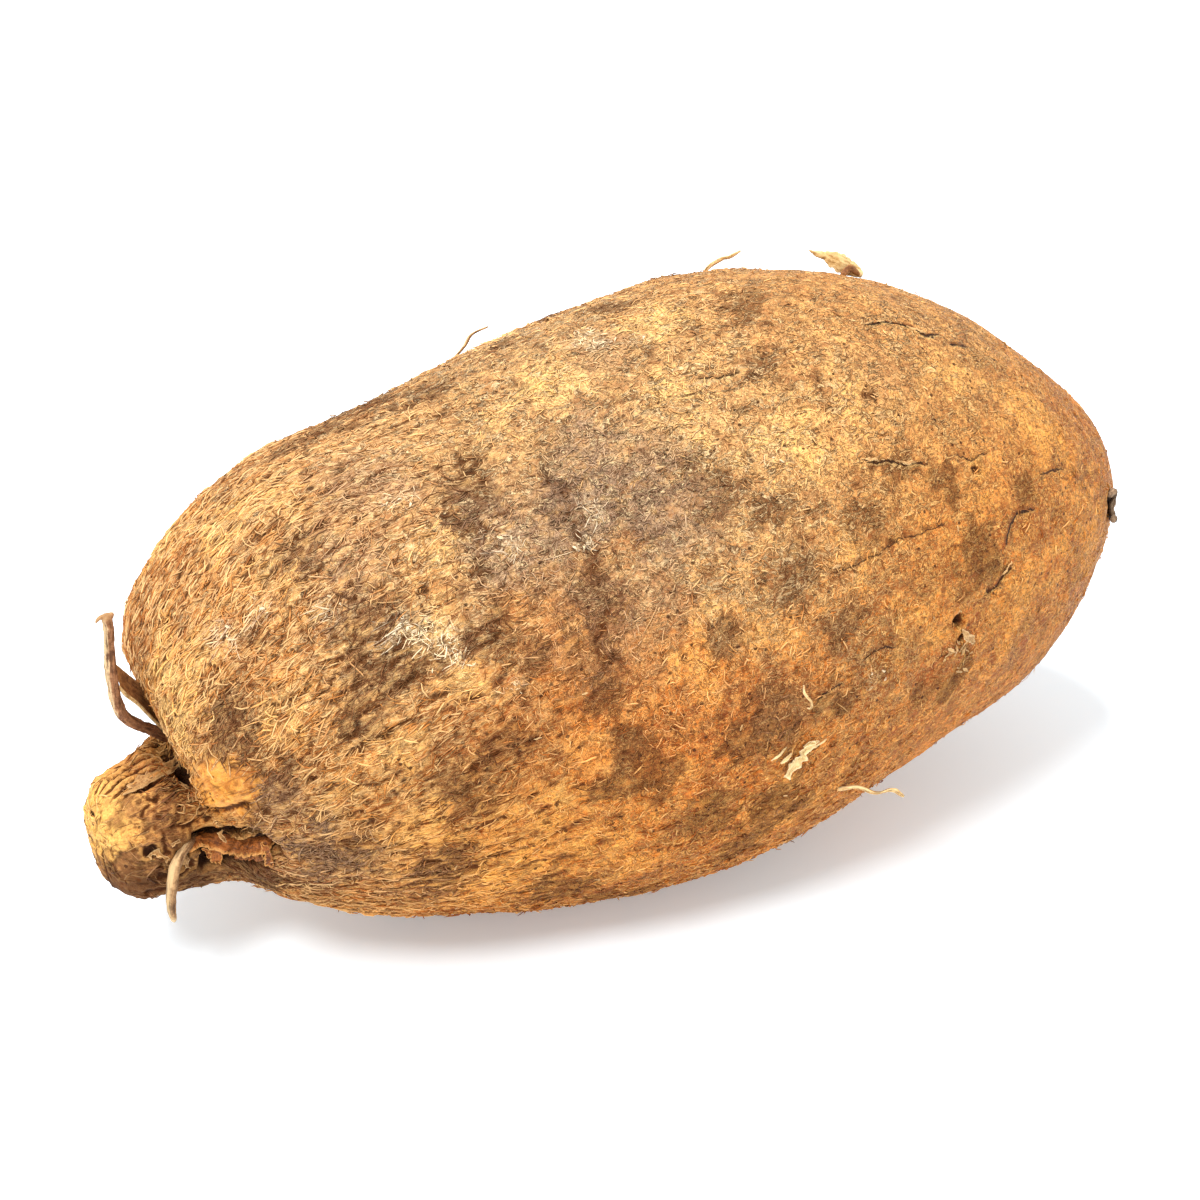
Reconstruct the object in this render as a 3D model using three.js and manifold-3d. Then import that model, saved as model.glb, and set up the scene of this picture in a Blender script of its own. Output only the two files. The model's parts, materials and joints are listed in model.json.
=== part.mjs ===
// A whole yam lying on its side. It is one thick, brown-skinned tuber with the knob of its old crown at one end.
// Two dried roots are left at the crown and four thin rootlets on the skin. Dry husk, a lifted flap, a loose flake
// and the broken rim round the tail scar stand off the skin.
// X runs along the tuber, from the crown at -X to the tail at +X. Z is up. The unit is the millimetre.
// Places are measured from the middle of the tuber, on its long axis.
import * as THREE from "three";
import { mergeVertices } from "three/addons/utils/BufferGeometryUtils.js";
import Module from "manifold-3d";

const wasm = await Module();
wasm.setup();

// ---- The tuber's driving dimensions ----
const HALF_LENGTH = 112; // from the middle of the tuber to either end
const FOOT_DEPTH = 58.2; // from the long axis down to the patch that the yam's weight has pressed flat
// How far the tuber reaches above and below its axis, at nine stations spaced evenly in angle from the crown end
// to the tail end. An end's own values say how blunt it is.
const FULLNESS_ABOVE = [60, 51, 57, 51.5, 56, 62, 58.5, 53, 64];
const FULLNESS_BELOW = [51, 66, 61, 60.5, 60, 54, 56.5, 60, 78];
const STEPS_ALONG = 72;
const STEPS_AROUND = 44;

// The hollow in the crown end that the knob grows out of: its deepest point, its depth and how far it spreads.
const HOLLOW = { y: 5, z: -13.5, depth: 18, spread: 21 };

// ---- The crown: a blunt knob, turned about its own axis ----
const CROWN_FOOT = new THREE.Vector3(-92, 1, -22.3);
const CROWN_AIM = new THREE.Vector3(-1, -0.16, 0.07).normalize();
const CROWN_BURIED = 14; // how far the knob runs on inside the tuber
const CROWN_OUTLINE = [
  // radius, distance along the knob
  [16.5, -CROWN_BURIED],
  [14.6, 0],
  [13, 8],
  [12, 15],
  [10.6, 20],
  [7, 24.4],
  [0, 26],
];
const CROWN_SIDES = 28;
const CROWN_STEPS = 14;

// ---- Roots: the points that each one runs through, from the skin outwards ----
const ROOT_SIDES = 8;
const ROOT_STEP = 1.6; // length of one step along a root

const FORKED_ROOT = {
  thickness: 2.7,
  route: [
    [-92, 6, -10],
    [-99.8, 3.5, -4.2],
    [-105.4, 1.2, 2.4],
    [-110.4, -0.8, 7],
    [-112, -2, 15.5],
    [-112.6, -2.5, 22.5],
    [-113.2, -3, 27.9],
  ],
};
// The short crosspiece that ends the forked root.
const ROOT_TOE = {
  thickness: 1.2,
  route: [
    [-115.4, -2.8, 26.8],
    [-113.2, -3, 28.4],
    [-110.4, -3.2, 27.4],
  ],
};
// The thinner second strand, from half-way up the forked root back to the crown.
const ROOT_STRAND = {
  thickness: 1.3,
  route: [
    [-112.2, -1.8, 16.5],
    [-107.4, 0.6, 10.4],
    [-103.2, 3.4, 3.2],
    [-98, 6.5, -4.6],
  ],
};
const CUT_ROOT = {
  thickness: 2.1,
  route: [
    [-100, -9, -21.5],
    [-106.4, -14, -21.9],
    [-108.8, -16, -25.9],
    [-109, -16.2, -30.3],
    [-108.6, -16, -33.3],
  ],
};
const TOP_ROOTLET = {
  thickness: 0.9,
  route: [
    [31.5, 23.4, 49.1],
    [33.6, 24, 53.1],
    [36.8, 24, 54.5],
    [41, 24, 55.1],
  ],
};
const SHOULDER_ROOTLET = {
  thickness: 0.8,
  route: [
    [-21.6, 32, 38.1],
    [-20.2, 33, 41.9],
    [-17.2, 33, 44.9],
    [-15.4, 33, 46.9],
    [-12, 33, 47.5],
  ],
};
const FLOOR_ROOTLET = {
  thickness: 1.4,
  route: [
    [15.6, -48.6, -23.1],
    [20, -51.6, -24.9],
    [24.8, -54, -25.7],
    [28.8, -55, -26.7],
    [31.8, -55.4, -28.7],
  ],
};
const SIDE_ROOTLET = {
  thickness: 0.8,
  route: [
    [7.2, -56.4, 0.9],
    [6.8, -59.8, 1.9],
    [6, -60.2, 4.9],
    [4.8, -60, 7.3],
  ],
};

// ---- Flakes: thin leaves of dry skin, each with its base, the way it runs and the way its broad side faces ----
const FLAKE_THICKNESS = 0.5;
const FLAKE_CURVE_STEPS = 6;
const TOP_FLAP = {
  start: [64, 13.6, 49.2],
  along: [-0.83, 0.2, 0.53],
  facing: [-0.43, -0.75, 0.5],
  length: 12.5,
  width: 4.4,
};
const SKIN_FLAKE = {
  start: [1.4, -59.2, -11.9],
  along: [0.8, 0, 0.6],
  facing: [0.03, -0.99, -0.1],
  length: 8.5,
  width: 3.6,
};
const CROWN_HUSK = {
  start: [-102.2, -16, -21.6],
  along: [0.6, -0.76, 0.16],
  facing: [-0.62, -0.6, -0.5],
  length: 15.5,
  width: 5,
};

// The broken collar round the tail scar.
const TAIL_RIM = { centre: [103, -23.6, 3], facing: [0.71, -0.7, 0.08], radius: 2.8, wall: 0.7, height: 1.3 };
const TAIL_RIM_SIDES = 20;

const SKIN_GAP = 0.35; // the clearance left between the tuber and each piece that stands on it

// ---- Materials: dusty ochre skin, brown dried root, pale papery skin ----
const SKIN = new THREE.MeshStandardMaterial({ color: 0xc08a54, roughness: 0.9, metalness: 0 });
const DRIED_ROOT = new THREE.MeshStandardMaterial({ color: 0xa9713d, roughness: 0.85, metalness: 0 });
const PAPERY_SKIN = new THREE.MeshStandardMaterial({ color: 0xe0b878, roughness: 0.8, metalness: 0 });

// ---- Between three.js geometry and manifold-3d solids ----
const MERGE_DISTANCE = 1e-4;

function toSolid(geometry) {
  const bare = new THREE.BufferGeometry();
  bare.setAttribute("position", geometry.getAttribute("position"));
  bare.setIndex(geometry.index);
  const merged = mergeVertices(bare, MERGE_DISTANCE);
  const mesh = new wasm.Mesh({
    numProp: 3,
    vertProperties: merged.attributes.position.array,
    triVerts: new Uint32Array(merged.index.array),
  });
  return new wasm.Manifold(mesh);
}

function toMesh(name, solid, material) {
  const { vertProperties, triVerts } = solid.getMesh();
  const geometry = new THREE.BufferGeometry();
  geometry.setAttribute("position", new THREE.BufferAttribute(new Float32Array(vertProperties), 3));
  geometry.setIndex(new THREE.BufferAttribute(new Uint32Array(triVerts), 1));
  geometry.computeVertexNormals();
  const mesh = new THREE.Mesh(geometry, material);
  mesh.name = name;
  return mesh;
}

const vector = ([x, y, z]) => new THREE.Vector3(x, y, z);

// Turns a geometry that was made about the Y axis to point along `aim`, and stands it on `foot`.
function stand(geometry, foot, aim) {
  const turn = new THREE.Quaternion().setFromUnitVectors(new THREE.Vector3(0, 1, 0), aim);
  return geometry.applyQuaternion(turn).translate(foot.x, foot.y, foot.z);
}

// ---- The tuber ----
// A smooth curve through one value for each station, level at both ends.
function smoothThrough(values) {
  const stations = values.map((_, i) => (i * Math.PI) / (values.length - 1));
  const curve = new THREE.CubicInterpolant(stations, values, 1);
  curve.settings = { endingStart: THREE.ZeroSlopeEnding, endingEnd: THREE.ZeroSlopeEnding };
  return (angle) => curve.evaluate(angle)[0];
}

const fullnessAbove = smoothThrough(FULLNESS_ABOVE);
const fullnessBelow = smoothThrough(FULLNESS_BELOW);

// A point of the tuber's skin, thickened by `extra`. `along` is the angle from the crown end to the tail end,
// and `around` is the angle about the long axis, counted from +Y and a quarter turn at the top.
function skinPoint(along, around, extra) {
  const above = (fullnessAbove(along) + extra) * Math.sin(along);
  const below = (fullnessBelow(along) + extra) * Math.sin(along);
  const y = ((above + below) / 2) * Math.cos(around);
  const z = (Math.sin(around) > 0 ? above : below) * Math.sin(around);
  const fromHollow = Math.hypot(y - HOLLOW.y, z - HOLLOW.z) / HOLLOW.spread;
  const inCrownHalf = THREE.MathUtils.clamp(3 * Math.cos(along), 0, 1);
  const hollow = HOLLOW.depth * Math.exp(-(fromHollow ** 2)) * inCrownHalf;
  return [hollow - (HALF_LENGTH + extra) * Math.cos(along), y, z];
}

// A unit sphere with its poles at the two ends, each vertex moved to its place on the skin.
function tuberBody(extra) {
  const geometry = new THREE.SphereGeometry(1, STEPS_AROUND, STEPS_ALONG).rotateZ(Math.PI / 2);
  const position = geometry.getAttribute("position");
  for (let i = 0; i < position.count; i++) {
    const along = Math.acos(THREE.MathUtils.clamp(-position.getX(i), -1, 1));
    const around = Math.atan2(position.getZ(i), position.getY(i));
    position.setXYZ(i, ...skinPoint(along, around, extra));
  }
  return toSolid(geometry);
}

function crownKnob(extra) {
  const corners = CROWN_OUTLINE.map(([radius, distance]) => new THREE.Vector2(radius, distance));
  const side = new THREE.SplineCurve(corners).getPoints(CROWN_STEPS);
  side.pop();
  side.forEach((point) => point.addScalar(extra));
  const base = new THREE.Vector2(0, side[0].y);
  const tip = new THREE.Vector2(0, corners.at(-1).y + extra);
  return toSolid(stand(new THREE.LatheGeometry([base, ...side, tip], CROWN_SIDES), CROWN_FOOT, CROWN_AIM));
}

// The tuber and its crown are one grown piece.
const grownPiece = (extra) => tuberBody(extra).add(crownKnob(extra));

// The underside is pressed flat where the tuber's weight rests.
function flattenFoot(solid) {
  const slab = new THREE.BoxGeometry(4 * HALF_LENGTH, 4 * HALF_LENGTH, FOOT_DEPTH);
  slab.translate(0, 0, -1.5 * FOOT_DEPTH);
  return solid.subtract(toSolid(slab));
}

// ---- What stands off the skin ----
function rootSolid({ thickness, route }) {
  const path = new THREE.CatmullRomCurve3(route.map(vector));
  const section = new THREE.Shape().absarc(0, 0, thickness / 2, 0, 2 * Math.PI);
  const options = {
    extrudePath: path,
    steps: Math.ceil(path.getLength() / ROOT_STEP),
    curveSegments: ROOT_SIDES / 2,
    bevelEnabled: false,
  };
  return toSolid(new THREE.ExtrudeGeometry(section, options));
}

function flakeSolid({ start, along, facing, length, width }) {
  const leaf = new THREE.Shape();
  leaf.moveTo(0, -width / 4);
  leaf.quadraticCurveTo(length / 2, -width * 0.8, length, 0);
  leaf.quadraticCurveTo(length / 2, width * 0.8, 0, width / 4);
  leaf.closePath();
  const options = { depth: FLAKE_THICKNESS, curveSegments: FLAKE_CURVE_STEPS, bevelEnabled: false };
  const x = vector(along).normalize();
  const y = vector(facing).cross(x).normalize();
  const z = x.clone().cross(y);
  const place = new THREE.Matrix4().makeBasis(x, y, z).setPosition(vector(start));
  return toSolid(new THREE.ExtrudeGeometry(leaf, options).applyMatrix4(place));
}

function collarSolid({ centre, facing, radius, wall, height }) {
  const wallOutline = [
    new THREE.Vector2(radius - wall, 0),
    new THREE.Vector2(radius, 0),
    new THREE.Vector2(radius, height),
    new THREE.Vector2(radius - wall, height),
    new THREE.Vector2(radius - wall, 0),
  ];
  const collar = new THREE.LatheGeometry(wallOutline, TAIL_RIM_SIDES);
  return toSolid(stand(collar, vector(centre), vector(facing).normalize()));
}

// ---- The yam ----
const thickenedPiece = grownPiece(SKIN_GAP);
const clearOfSkin = (solid) => solid.subtract(thickenedPiece);

const tuber = flattenFoot(grownPiece(0));
const forkedRoot = rootSolid(FORKED_ROOT).add(rootSolid(ROOT_TOE)).add(rootSolid(ROOT_STRAND));

const yam = new THREE.Group();
yam.add(toMesh("tuber", tuber, SKIN));
yam.add(toMesh("forked_root", clearOfSkin(forkedRoot), DRIED_ROOT));
yam.add(toMesh("cut_root", clearOfSkin(rootSolid(CUT_ROOT)), DRIED_ROOT));
yam.add(toMesh("top_rootlet", clearOfSkin(rootSolid(TOP_ROOTLET)), DRIED_ROOT));
yam.add(toMesh("shoulder_rootlet", clearOfSkin(rootSolid(SHOULDER_ROOTLET)), DRIED_ROOT));
yam.add(toMesh("floor_rootlet", clearOfSkin(rootSolid(FLOOR_ROOTLET)), DRIED_ROOT));
yam.add(toMesh("side_rootlet", clearOfSkin(rootSolid(SIDE_ROOTLET)), DRIED_ROOT));
yam.add(toMesh("crown_husk", clearOfSkin(flakeSolid(CROWN_HUSK)), PAPERY_SKIN));
yam.add(toMesh("top_flap", clearOfSkin(flakeSolid(TOP_FLAP)), PAPERY_SKIN));
yam.add(toMesh("skin_flake", clearOfSkin(flakeSolid(SKIN_FLAKE)), PAPERY_SKIN));
yam.add(toMesh("tail_rim", clearOfSkin(collarSolid(TAIL_RIM)), PAPERY_SKIN));

// The origin is on the surface that the yam lies on, under the middle of its outer box.
const box = new THREE.Box3().setFromObject(yam);
const middle = box.getCenter(new THREE.Vector3());
yam.position.set(-middle.x, -middle.y, -box.min.z);

const part = new THREE.Group();
part.add(yam);
export default part;
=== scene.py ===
# %% [markdown]
# # A yam, grown in Blender
# The yam is one heavy tuber that narrows to a crown, the stub that the vine grew from. Thin dried
# roots, scraps of papery skin and thousands of fibres stay on it after it is dug and brushed.
# The CAD model gives the exact size and the place of every piece, so it is loaded first, and
# nothing in it is moved. Each piece below is then made in more detail, in the same place.

# %% Load the CAD model
import itertools
import json
import math

import bmesh
import bpy
import numpy as np
from mathutils import Matrix, Vector
from mathutils.bvhtree import BVHTree

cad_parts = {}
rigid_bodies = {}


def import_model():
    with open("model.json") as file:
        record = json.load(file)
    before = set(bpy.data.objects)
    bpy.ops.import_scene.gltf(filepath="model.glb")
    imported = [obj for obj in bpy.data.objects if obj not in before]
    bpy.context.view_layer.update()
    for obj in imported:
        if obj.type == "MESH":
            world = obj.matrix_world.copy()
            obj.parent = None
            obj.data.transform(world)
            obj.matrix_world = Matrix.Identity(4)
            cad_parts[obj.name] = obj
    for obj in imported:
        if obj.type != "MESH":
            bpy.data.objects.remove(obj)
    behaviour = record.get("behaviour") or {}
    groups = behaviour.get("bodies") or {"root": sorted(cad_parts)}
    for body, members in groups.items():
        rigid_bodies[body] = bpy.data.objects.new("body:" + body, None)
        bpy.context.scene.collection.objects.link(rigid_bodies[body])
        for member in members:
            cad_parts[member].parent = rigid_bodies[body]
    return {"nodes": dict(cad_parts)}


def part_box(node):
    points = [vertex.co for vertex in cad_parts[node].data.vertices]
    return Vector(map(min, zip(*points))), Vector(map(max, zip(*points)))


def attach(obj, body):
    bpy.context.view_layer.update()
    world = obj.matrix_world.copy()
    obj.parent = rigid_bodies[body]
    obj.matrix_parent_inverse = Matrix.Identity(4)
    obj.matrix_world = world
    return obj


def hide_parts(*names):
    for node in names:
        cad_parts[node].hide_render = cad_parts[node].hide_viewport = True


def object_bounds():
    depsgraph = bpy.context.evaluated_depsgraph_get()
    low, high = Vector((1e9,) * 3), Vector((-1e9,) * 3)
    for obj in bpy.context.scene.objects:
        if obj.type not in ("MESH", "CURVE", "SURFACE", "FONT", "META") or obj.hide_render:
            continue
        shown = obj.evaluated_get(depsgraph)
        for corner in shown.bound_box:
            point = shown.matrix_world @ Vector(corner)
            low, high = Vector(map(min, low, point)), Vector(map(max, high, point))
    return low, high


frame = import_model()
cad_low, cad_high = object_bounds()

MM = 0.001
print("CAD nodes:", ", ".join(sorted(frame["nodes"])))
print("overall size, mm:", [round(side / MM, 1) for side in cad_high - cad_low])

# %% [markdown]
# Measures on the yam are easiest from its own middle: x runs along it from the crown to the tail,
# y runs to the back and z up. The tuber's box in the CAD model says where that middle is.

# %% Find the middle of the tuber
HALF_LENGTH = 112.0  # from the middle to the tail, mm
FOOT_DEPTH = 58.2  # from the middle down to the rest face, mm

tuber_low, tuber_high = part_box("tuber")
HEART = Vector((
    tuber_high.x - HALF_LENGTH * MM,
    (tuber_low.y + tuber_high.y) / 2,
    tuber_low.z + FOOT_DEPTH * MM,
))


def at(x, y, z):
    """A place given in millimetres from the middle of the tuber, in the row frame's metres."""
    return HEART + Vector((x, y, z)) * MM


# The crown stub has an axis of its own: where it starts, and which way it points.
CROWN_FOOT = np.array([-92.0, 1, -22.3])
CROWN_AIM = np.array([-1.0, -0.16, 0.07])
CROWN_AIM /= np.linalg.norm(CROWN_AIM)
print("middle of the tuber, mm:", [round(value / MM, 2) for value in HEART])

# %% [markdown]
# The camera comes early, so that every later step can be judged through it. A long lens from
# well back keeps the yam's two ends in proportion, and thirty degrees above the table shows
# its top, its near side and the end of the crown together.

# %% Set up the camera
VIEW_TURN = math.radians(30)
VIEW_HEIGHT = math.radians(30)
VIEW_DISTANCE = 0.9
LENS = 134.7
AIM_SHIFT = (-1.72, 2.49, -1.8)  # from the middle of the box, mm

middle = (cad_low + cad_high) / 2
aim = middle + Vector(AIM_SHIFT) * MM
towards_camera = Vector((
    -math.sin(VIEW_TURN) * math.cos(VIEW_HEIGHT),
    -math.cos(VIEW_TURN) * math.cos(VIEW_HEIGHT),
    math.sin(VIEW_HEIGHT),
))
camera = bpy.data.objects.new("camera", bpy.data.cameras.new("camera"))
camera.data.lens = LENS
camera.data.clip_start = 0.05
camera.data.clip_end = 20
camera.location = aim + towards_camera * VIEW_DISTANCE
camera.rotation_euler = (-towards_camera).to_track_quat("-Z", "Y").to_euler()
bpy.context.scene.collection.objects.link(camera)
bpy.context.scene.camera = camera
print("camera at, mm:", [round(value / MM) for value in camera.location])

# %% [markdown]
# Materials are written as small sums. A `Value` stands for one socket in the node tree, so
# `1 - mask` or `grain * 0.5` adds the Math nodes that do it. A `Finish` is one whole material,
# and its `add` makes any other node: its type, its settings, then what goes into its sockets.

# %% A small language for materials
class Value:
    """One number or colour on its way through a material's nodes."""

    def __init__(self, finish, socket):
        self.finish = finish
        self.socket = socket

    def maths(self, operation, *others, clamp=False):
        settings = {"operation": operation, "use_clamp": clamp}
        return self.finish.add("ShaderNodeMath", settings, dict(enumerate(others)))

    def __add__(self, other):
        return self.maths("ADD", self, other)

    def __sub__(self, other):
        return self.maths("SUBTRACT", self, other)

    def __rsub__(self, other):
        return self.maths("SUBTRACT", other, self)

    def __mul__(self, other):
        return self.maths("MULTIPLY", self, other)

    def __truediv__(self, other):
        return self.maths("DIVIDE", self, other)

    __radd__ = __add__
    __rmul__ = __mul__

    def between(self, low, high):
        """0 below low, 1 above high, and a smooth rise between them."""
        settings = {"interpolation_type": "SMOOTHSTEP"}
        sockets = {"Value": self, "From Min": low, "From Max": high}
        return self.finish.add("ShaderNodeMapRange", settings, sockets)

    def size(self):
        return self.maths("ABSOLUTE", self)

    def clamped(self):
        return self.maths("ADD", self, 0, clamp=True)

    def coat(self, share, over):
        """This colour, with a share of another colour laid over it."""
        return self.finish.mix(share, self, over)


class Finish:
    """A material whose nodes are added one call at a time."""

    def __init__(self, name, specular=0.3):
        self.material = bpy.data.materials.new(name)
        self.material.use_nodes = True
        self.tree = self.material.node_tree
        self.shader = self.tree.nodes["Principled BSDF"]
        self.shader.inputs["Specular IOR Level"].default_value = specular

    def put(self, socket, value):
        if isinstance(value, Value):
            self.tree.links.new(value.socket, socket)
        else:
            socket.default_value = value

    def add(self, kind, settings=None, sockets=None, output=0):
        node = self.tree.nodes.new(kind)
        for key, value in (settings or {}).items():
            setattr(node, key, value)
        for key, value in (sockets or {}).items():
            self.put(node.inputs[key], value)
        return Value(self, node.outputs[output])

    def attribute(self, name, output="Fac"):
        return self.add("ShaderNodeAttribute", {"attribute_name": name}, output=output)

    def __getitem__(self, name):
        """The number that each vertex keeps under a name."""
        return self.attribute(name)

    def place(self):
        return self.add("ShaderNodeTexCoord", output="Object")

    def other(self, value, output):
        """Another output of the node that a value comes from."""
        return Value(self, value.socket.node.outputs[output])

    def noise(self, where, grain_mm, detail=2.0, roughness=0.5, distortion=0.0):
        sockets = {
            "Vector": where,
            "Scale": 1 / (grain_mm * MM),
            "Detail": detail,
            "Roughness": roughness,
            "Distortion": distortion,
        }
        return self.add("ShaderNodeTexNoise", None, sockets)

    def times(self, a, b):
        """Multiplies two colours, or stretches a place by three numbers."""
        return self.add("ShaderNodeVectorMath", {"operation": "MULTIPLY"}, {0: a, 1: b})

    def mix(self, share, under, over):
        sockets = {0: share, 6: under, 7: over}
        return self.add("ShaderNodeMix", {"data_type": "RGBA"}, sockets, output=2)

    def bump(self, height_mm, strength=1.0):
        sockets = {"Strength": strength, "Distance": MM, "Height": height_mm}
        return self.add("ShaderNodeBump", None, sockets)

    def surface(self, colour, roughness, normal=None):
        self.put(self.shader.inputs["Base Color"], colour)
        self.put(self.shader.inputs["Roughness"], roughness)
        if normal:
            self.put(self.shader.inputs["Normal"], normal)
        return self.material


def rgb(red, green, blue):
    return (red, green, blue, 1)


print("a straw yellow is", rgb(0.8, 0.5, 0.2))

# %% [markdown]
# Shapes are drawn with bmesh, Blender's mesh editor for scripts. When a drawing is ready, it
# becomes a mesh, and the mesh is shown as an object. Two helpers do this all through.

# %% Two helpers for meshes
scene = bpy.context.scene


def shown(name, mesh):
    """Links a mesh as an object at the origin, with its place in its vertices."""
    item = bpy.data.objects.new(name, mesh)
    scene.collection.objects.link(item)
    return item


def as_mesh(bm, name):
    """Turns a bmesh into a mesh, and frees the bmesh."""
    mesh = bpy.data.meshes.new(name)
    bm.to_mesh(mesh)
    bm.free()
    return mesh


print("ready to show shapes in", scene.name)

# %% [markdown]
# The studio is a pale table under soft light. The table is one large square, and it glows
# faintly from below, as a light table does, so the yam's shadow stays pale and its underside is
# lit. A wide softbox overhead and a second one to the upper left do most of the lighting, and a
# white sky fills in the rest. With the plain Standard view, a colour comes out as it was chosen.

# %% Light the studio
scene.view_settings.view_transform = "Standard"

TABLE_HALF = 4.0
TABLE_GLOW = 0.25
SKY_GLOW = 0.92

bm = bmesh.new()
bmesh.ops.create_grid(bm, x_segments=1, y_segments=1, size=TABLE_HALF)
table = shown("table", as_mesh(bm, "table"))
table_finish = Finish("table_top", specular=0.0)
table_finish.shader.inputs["Emission Color"].default_value = rgb(1, 1, 1)
table_finish.shader.inputs["Emission Strength"].default_value = TABLE_GLOW
table.data.materials.append(table_finish.surface(rgb(0.84, 0.93, 0.99), 0.9))


def softbox(name, place, towards, size, power):
    """A round soft light of some size in metres and power in watts."""
    light = bpy.data.lights.new(name, "AREA")
    light.shape = "DISK"
    light.size = size
    light.energy = power
    lamp = bpy.data.objects.new(name, light)
    lamp.location = place
    lamp.rotation_euler = (towards - place).to_track_quat("-Z", "Y").to_euler()
    scene.collection.objects.link(lamp)


softbox("overhead_softbox", middle + Vector((-0.08, 0, 1.03)), middle, 0.28, 12.3)
softbox("side_softbox", middle + Vector((-0.64, -0.46, 0.8)), middle, 0.26, 8)

world = bpy.data.worlds.new("white_room")
world.use_nodes = True
sky = world.node_tree.nodes["Background"]
sky.inputs["Color"].default_value = rgb(1, 1, 1)
sky.inputs["Strength"].default_value = SKY_GLOW
scene.world = world

# %% [markdown]
# Two kinds of tool shape the skin. The first is smooth random noise: hills and hollows that are
# the same on each run. The second evens out a value, or the vertices themselves, over the mesh,
# which softens the old triangles and later finds which places lie in a hollow. A few small
# helpers measure distances and draw smooth paths.

# %% Noise and evening out
def hills(seed):
    """A function that gives smooth random heights, from about -1 to 1, at points in space."""
    draw = np.random.default_rng(seed)
    order = draw.permutation(256)
    slopes = draw.normal(size=(256, 3))
    slopes /= np.linalg.norm(slopes, axis=1, keepdims=True)

    def height(points):
        cell = np.floor(points).astype(int)
        inside = points - cell
        ease = inside**3 * (inside * (inside * 6 - 15) + 10)
        total = np.zeros(len(points))
        for corner in itertools.product((0, 1), repeat=3):
            x, y, z = ((cell + corner) & 255).T
            key = order[(order[(order[x] + y) & 255] + z) & 255]
            share = np.prod(np.where(corner, ease, 1 - ease), axis=1)
            total += share * ((inside - corner) * slopes[key]).sum(1)
        return total * 1.6

    return height


def layered(seed, points, layers=3, fade=0.5):
    """Noise over noise: each layer is twice as fine as the one before, and fainter."""
    return sum(
        fade**layer * hills(seed + layer)(points * 2**layer) for layer in range(layers)
    )


def rise(value, low, high):
    """0 below low, 1 above high, and a smooth rise between them."""
    share = np.clip((value - low) / (high - low), 0, 1)
    return share * share * (3 - 2 * share)


def bell(distance, reach):
    """1 where the distance is 0, and nearly 0 beyond twice the reach."""
    return np.exp(-((distance / reach) ** 2))


def away(points, spot):
    """How far each point lies from one spot."""
    return np.linalg.norm(points - spot, axis=1)


def tapered(share, over):
    """0 at both ends of a path, and 1 along the rest of it."""
    return rise(np.minimum(share, 1 - share), -0.02, over)


def evened(values, ends, rounds=1):
    """The mean of each vertex's neighbours, taken again and again."""
    first, second = ends
    count = np.bincount(np.concatenate(ends), minlength=len(values))
    table = values.reshape(len(values), -1)
    for _ in range(rounds):
        columns = [
            np.bincount(first, column[second], len(count))
            + np.bincount(second, column[first], len(count))
            for column in table.T
        ]
        table = np.stack(columns, axis=1) / count[:, None]
    return table.reshape(values.shape)


def smooth_path(stops, count):
    """Places evenly spaced along a smooth curve that passes through every stop."""
    stops = np.asarray(stops, float)
    wide = np.vstack([2 * stops[0] - stops[1], stops, 2 * stops[-1] - stops[-2]])
    share = np.linspace(0, len(stops) - 1, count)
    leg = np.minimum(share.astype(int), len(stops) - 2)
    before, start, stop, after = (wide[leg + step] for step in range(4))
    part = (share - leg)[:, None]
    return (
        start
        + 0.5 * part * (stop - before)
        + part**2 * (before - 2.5 * start + 2 * stop - 0.5 * after)
        + 0.5 * part**3 * (3 * (start - stop) + after - before)
    )


def nearness(points, path, outs=None, reach=12):
    """How far points are from a path, and how far along it they are, from 0 to 1.

    Points out of reach are counted as very far. Given the way out of the skin at each point,
    distances on one side of the path are below 0.
    """
    near = np.all((points > path.min(0) - reach) & (points < path.max(0) + reach), axis=1)
    close = points[near]
    best = np.full(len(close), 1e9)
    share = np.zeros(len(close))
    side = np.ones(len(close))
    count = len(path) - 1
    for step, (start, stop) in enumerate(zip(path[:-1], path[1:])):
        leg = stop - start
        gap = close - start
        part = np.clip(gap @ leg / (leg @ leg + 1e-9), 0, 1)
        distance = np.linalg.norm(gap - np.outer(part, leg), axis=1)
        closer = distance < best
        best[closer] = distance[closer]
        share[closer] = (step + part[closer]) / count
        if outs is not None:
            sign = np.sign((gap * np.cross(leg, outs[near])).sum(1))
            side[closer] = sign[closer]
    distances = np.full(len(points), 1e9)
    shares = np.zeros(len(points))
    distances[near] = best * side
    shares[near] = share
    return distances, shares


print("noise at one place:", hills(1)(np.array([[0.3, 0.5, 0.7]])).round(3))

# %% [markdown]
# The tuber's own surface comes from the CAD solid. Its triangles are large and uneven, so a
# copy is merged and remeshed into small even squares that can be pressed and pulled like clay,
# and evened out until no flat facet is left. The crown has the finest features, so its squares
# are divided twice more.

# %% Remesh a copy of the tuber
SKIN_GRAIN = 1.21  # the side of a square, mm
MERGE_WITHIN = 0.01
SOFTENING = 0.9


def merged_copy(node):
    """A copy of a CAD node's mesh whose triangles share their corners."""
    bm = bmesh.new()
    bm.from_mesh(frame["nodes"][node].data)
    bmesh.ops.remove_doubles(bm, verts=bm.verts, dist=MERGE_WITHIN * MM)
    return as_mesh(bm, node + "_copy")


def remeshed(mesh, grain_mm):
    """A mesh of even squares over the same surface."""
    scratch = shown("scratch", mesh)
    modifier = scratch.modifiers.new("even_squares", "REMESH")
    modifier.mode = "VOXEL"
    modifier.voxel_size = grain_mm * MM
    depsgraph = bpy.context.evaluated_depsgraph_get()
    made = bpy.data.meshes.new_from_object(scratch.evaluated_get(depsgraph))
    bpy.data.objects.remove(scratch)
    return made


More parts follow.
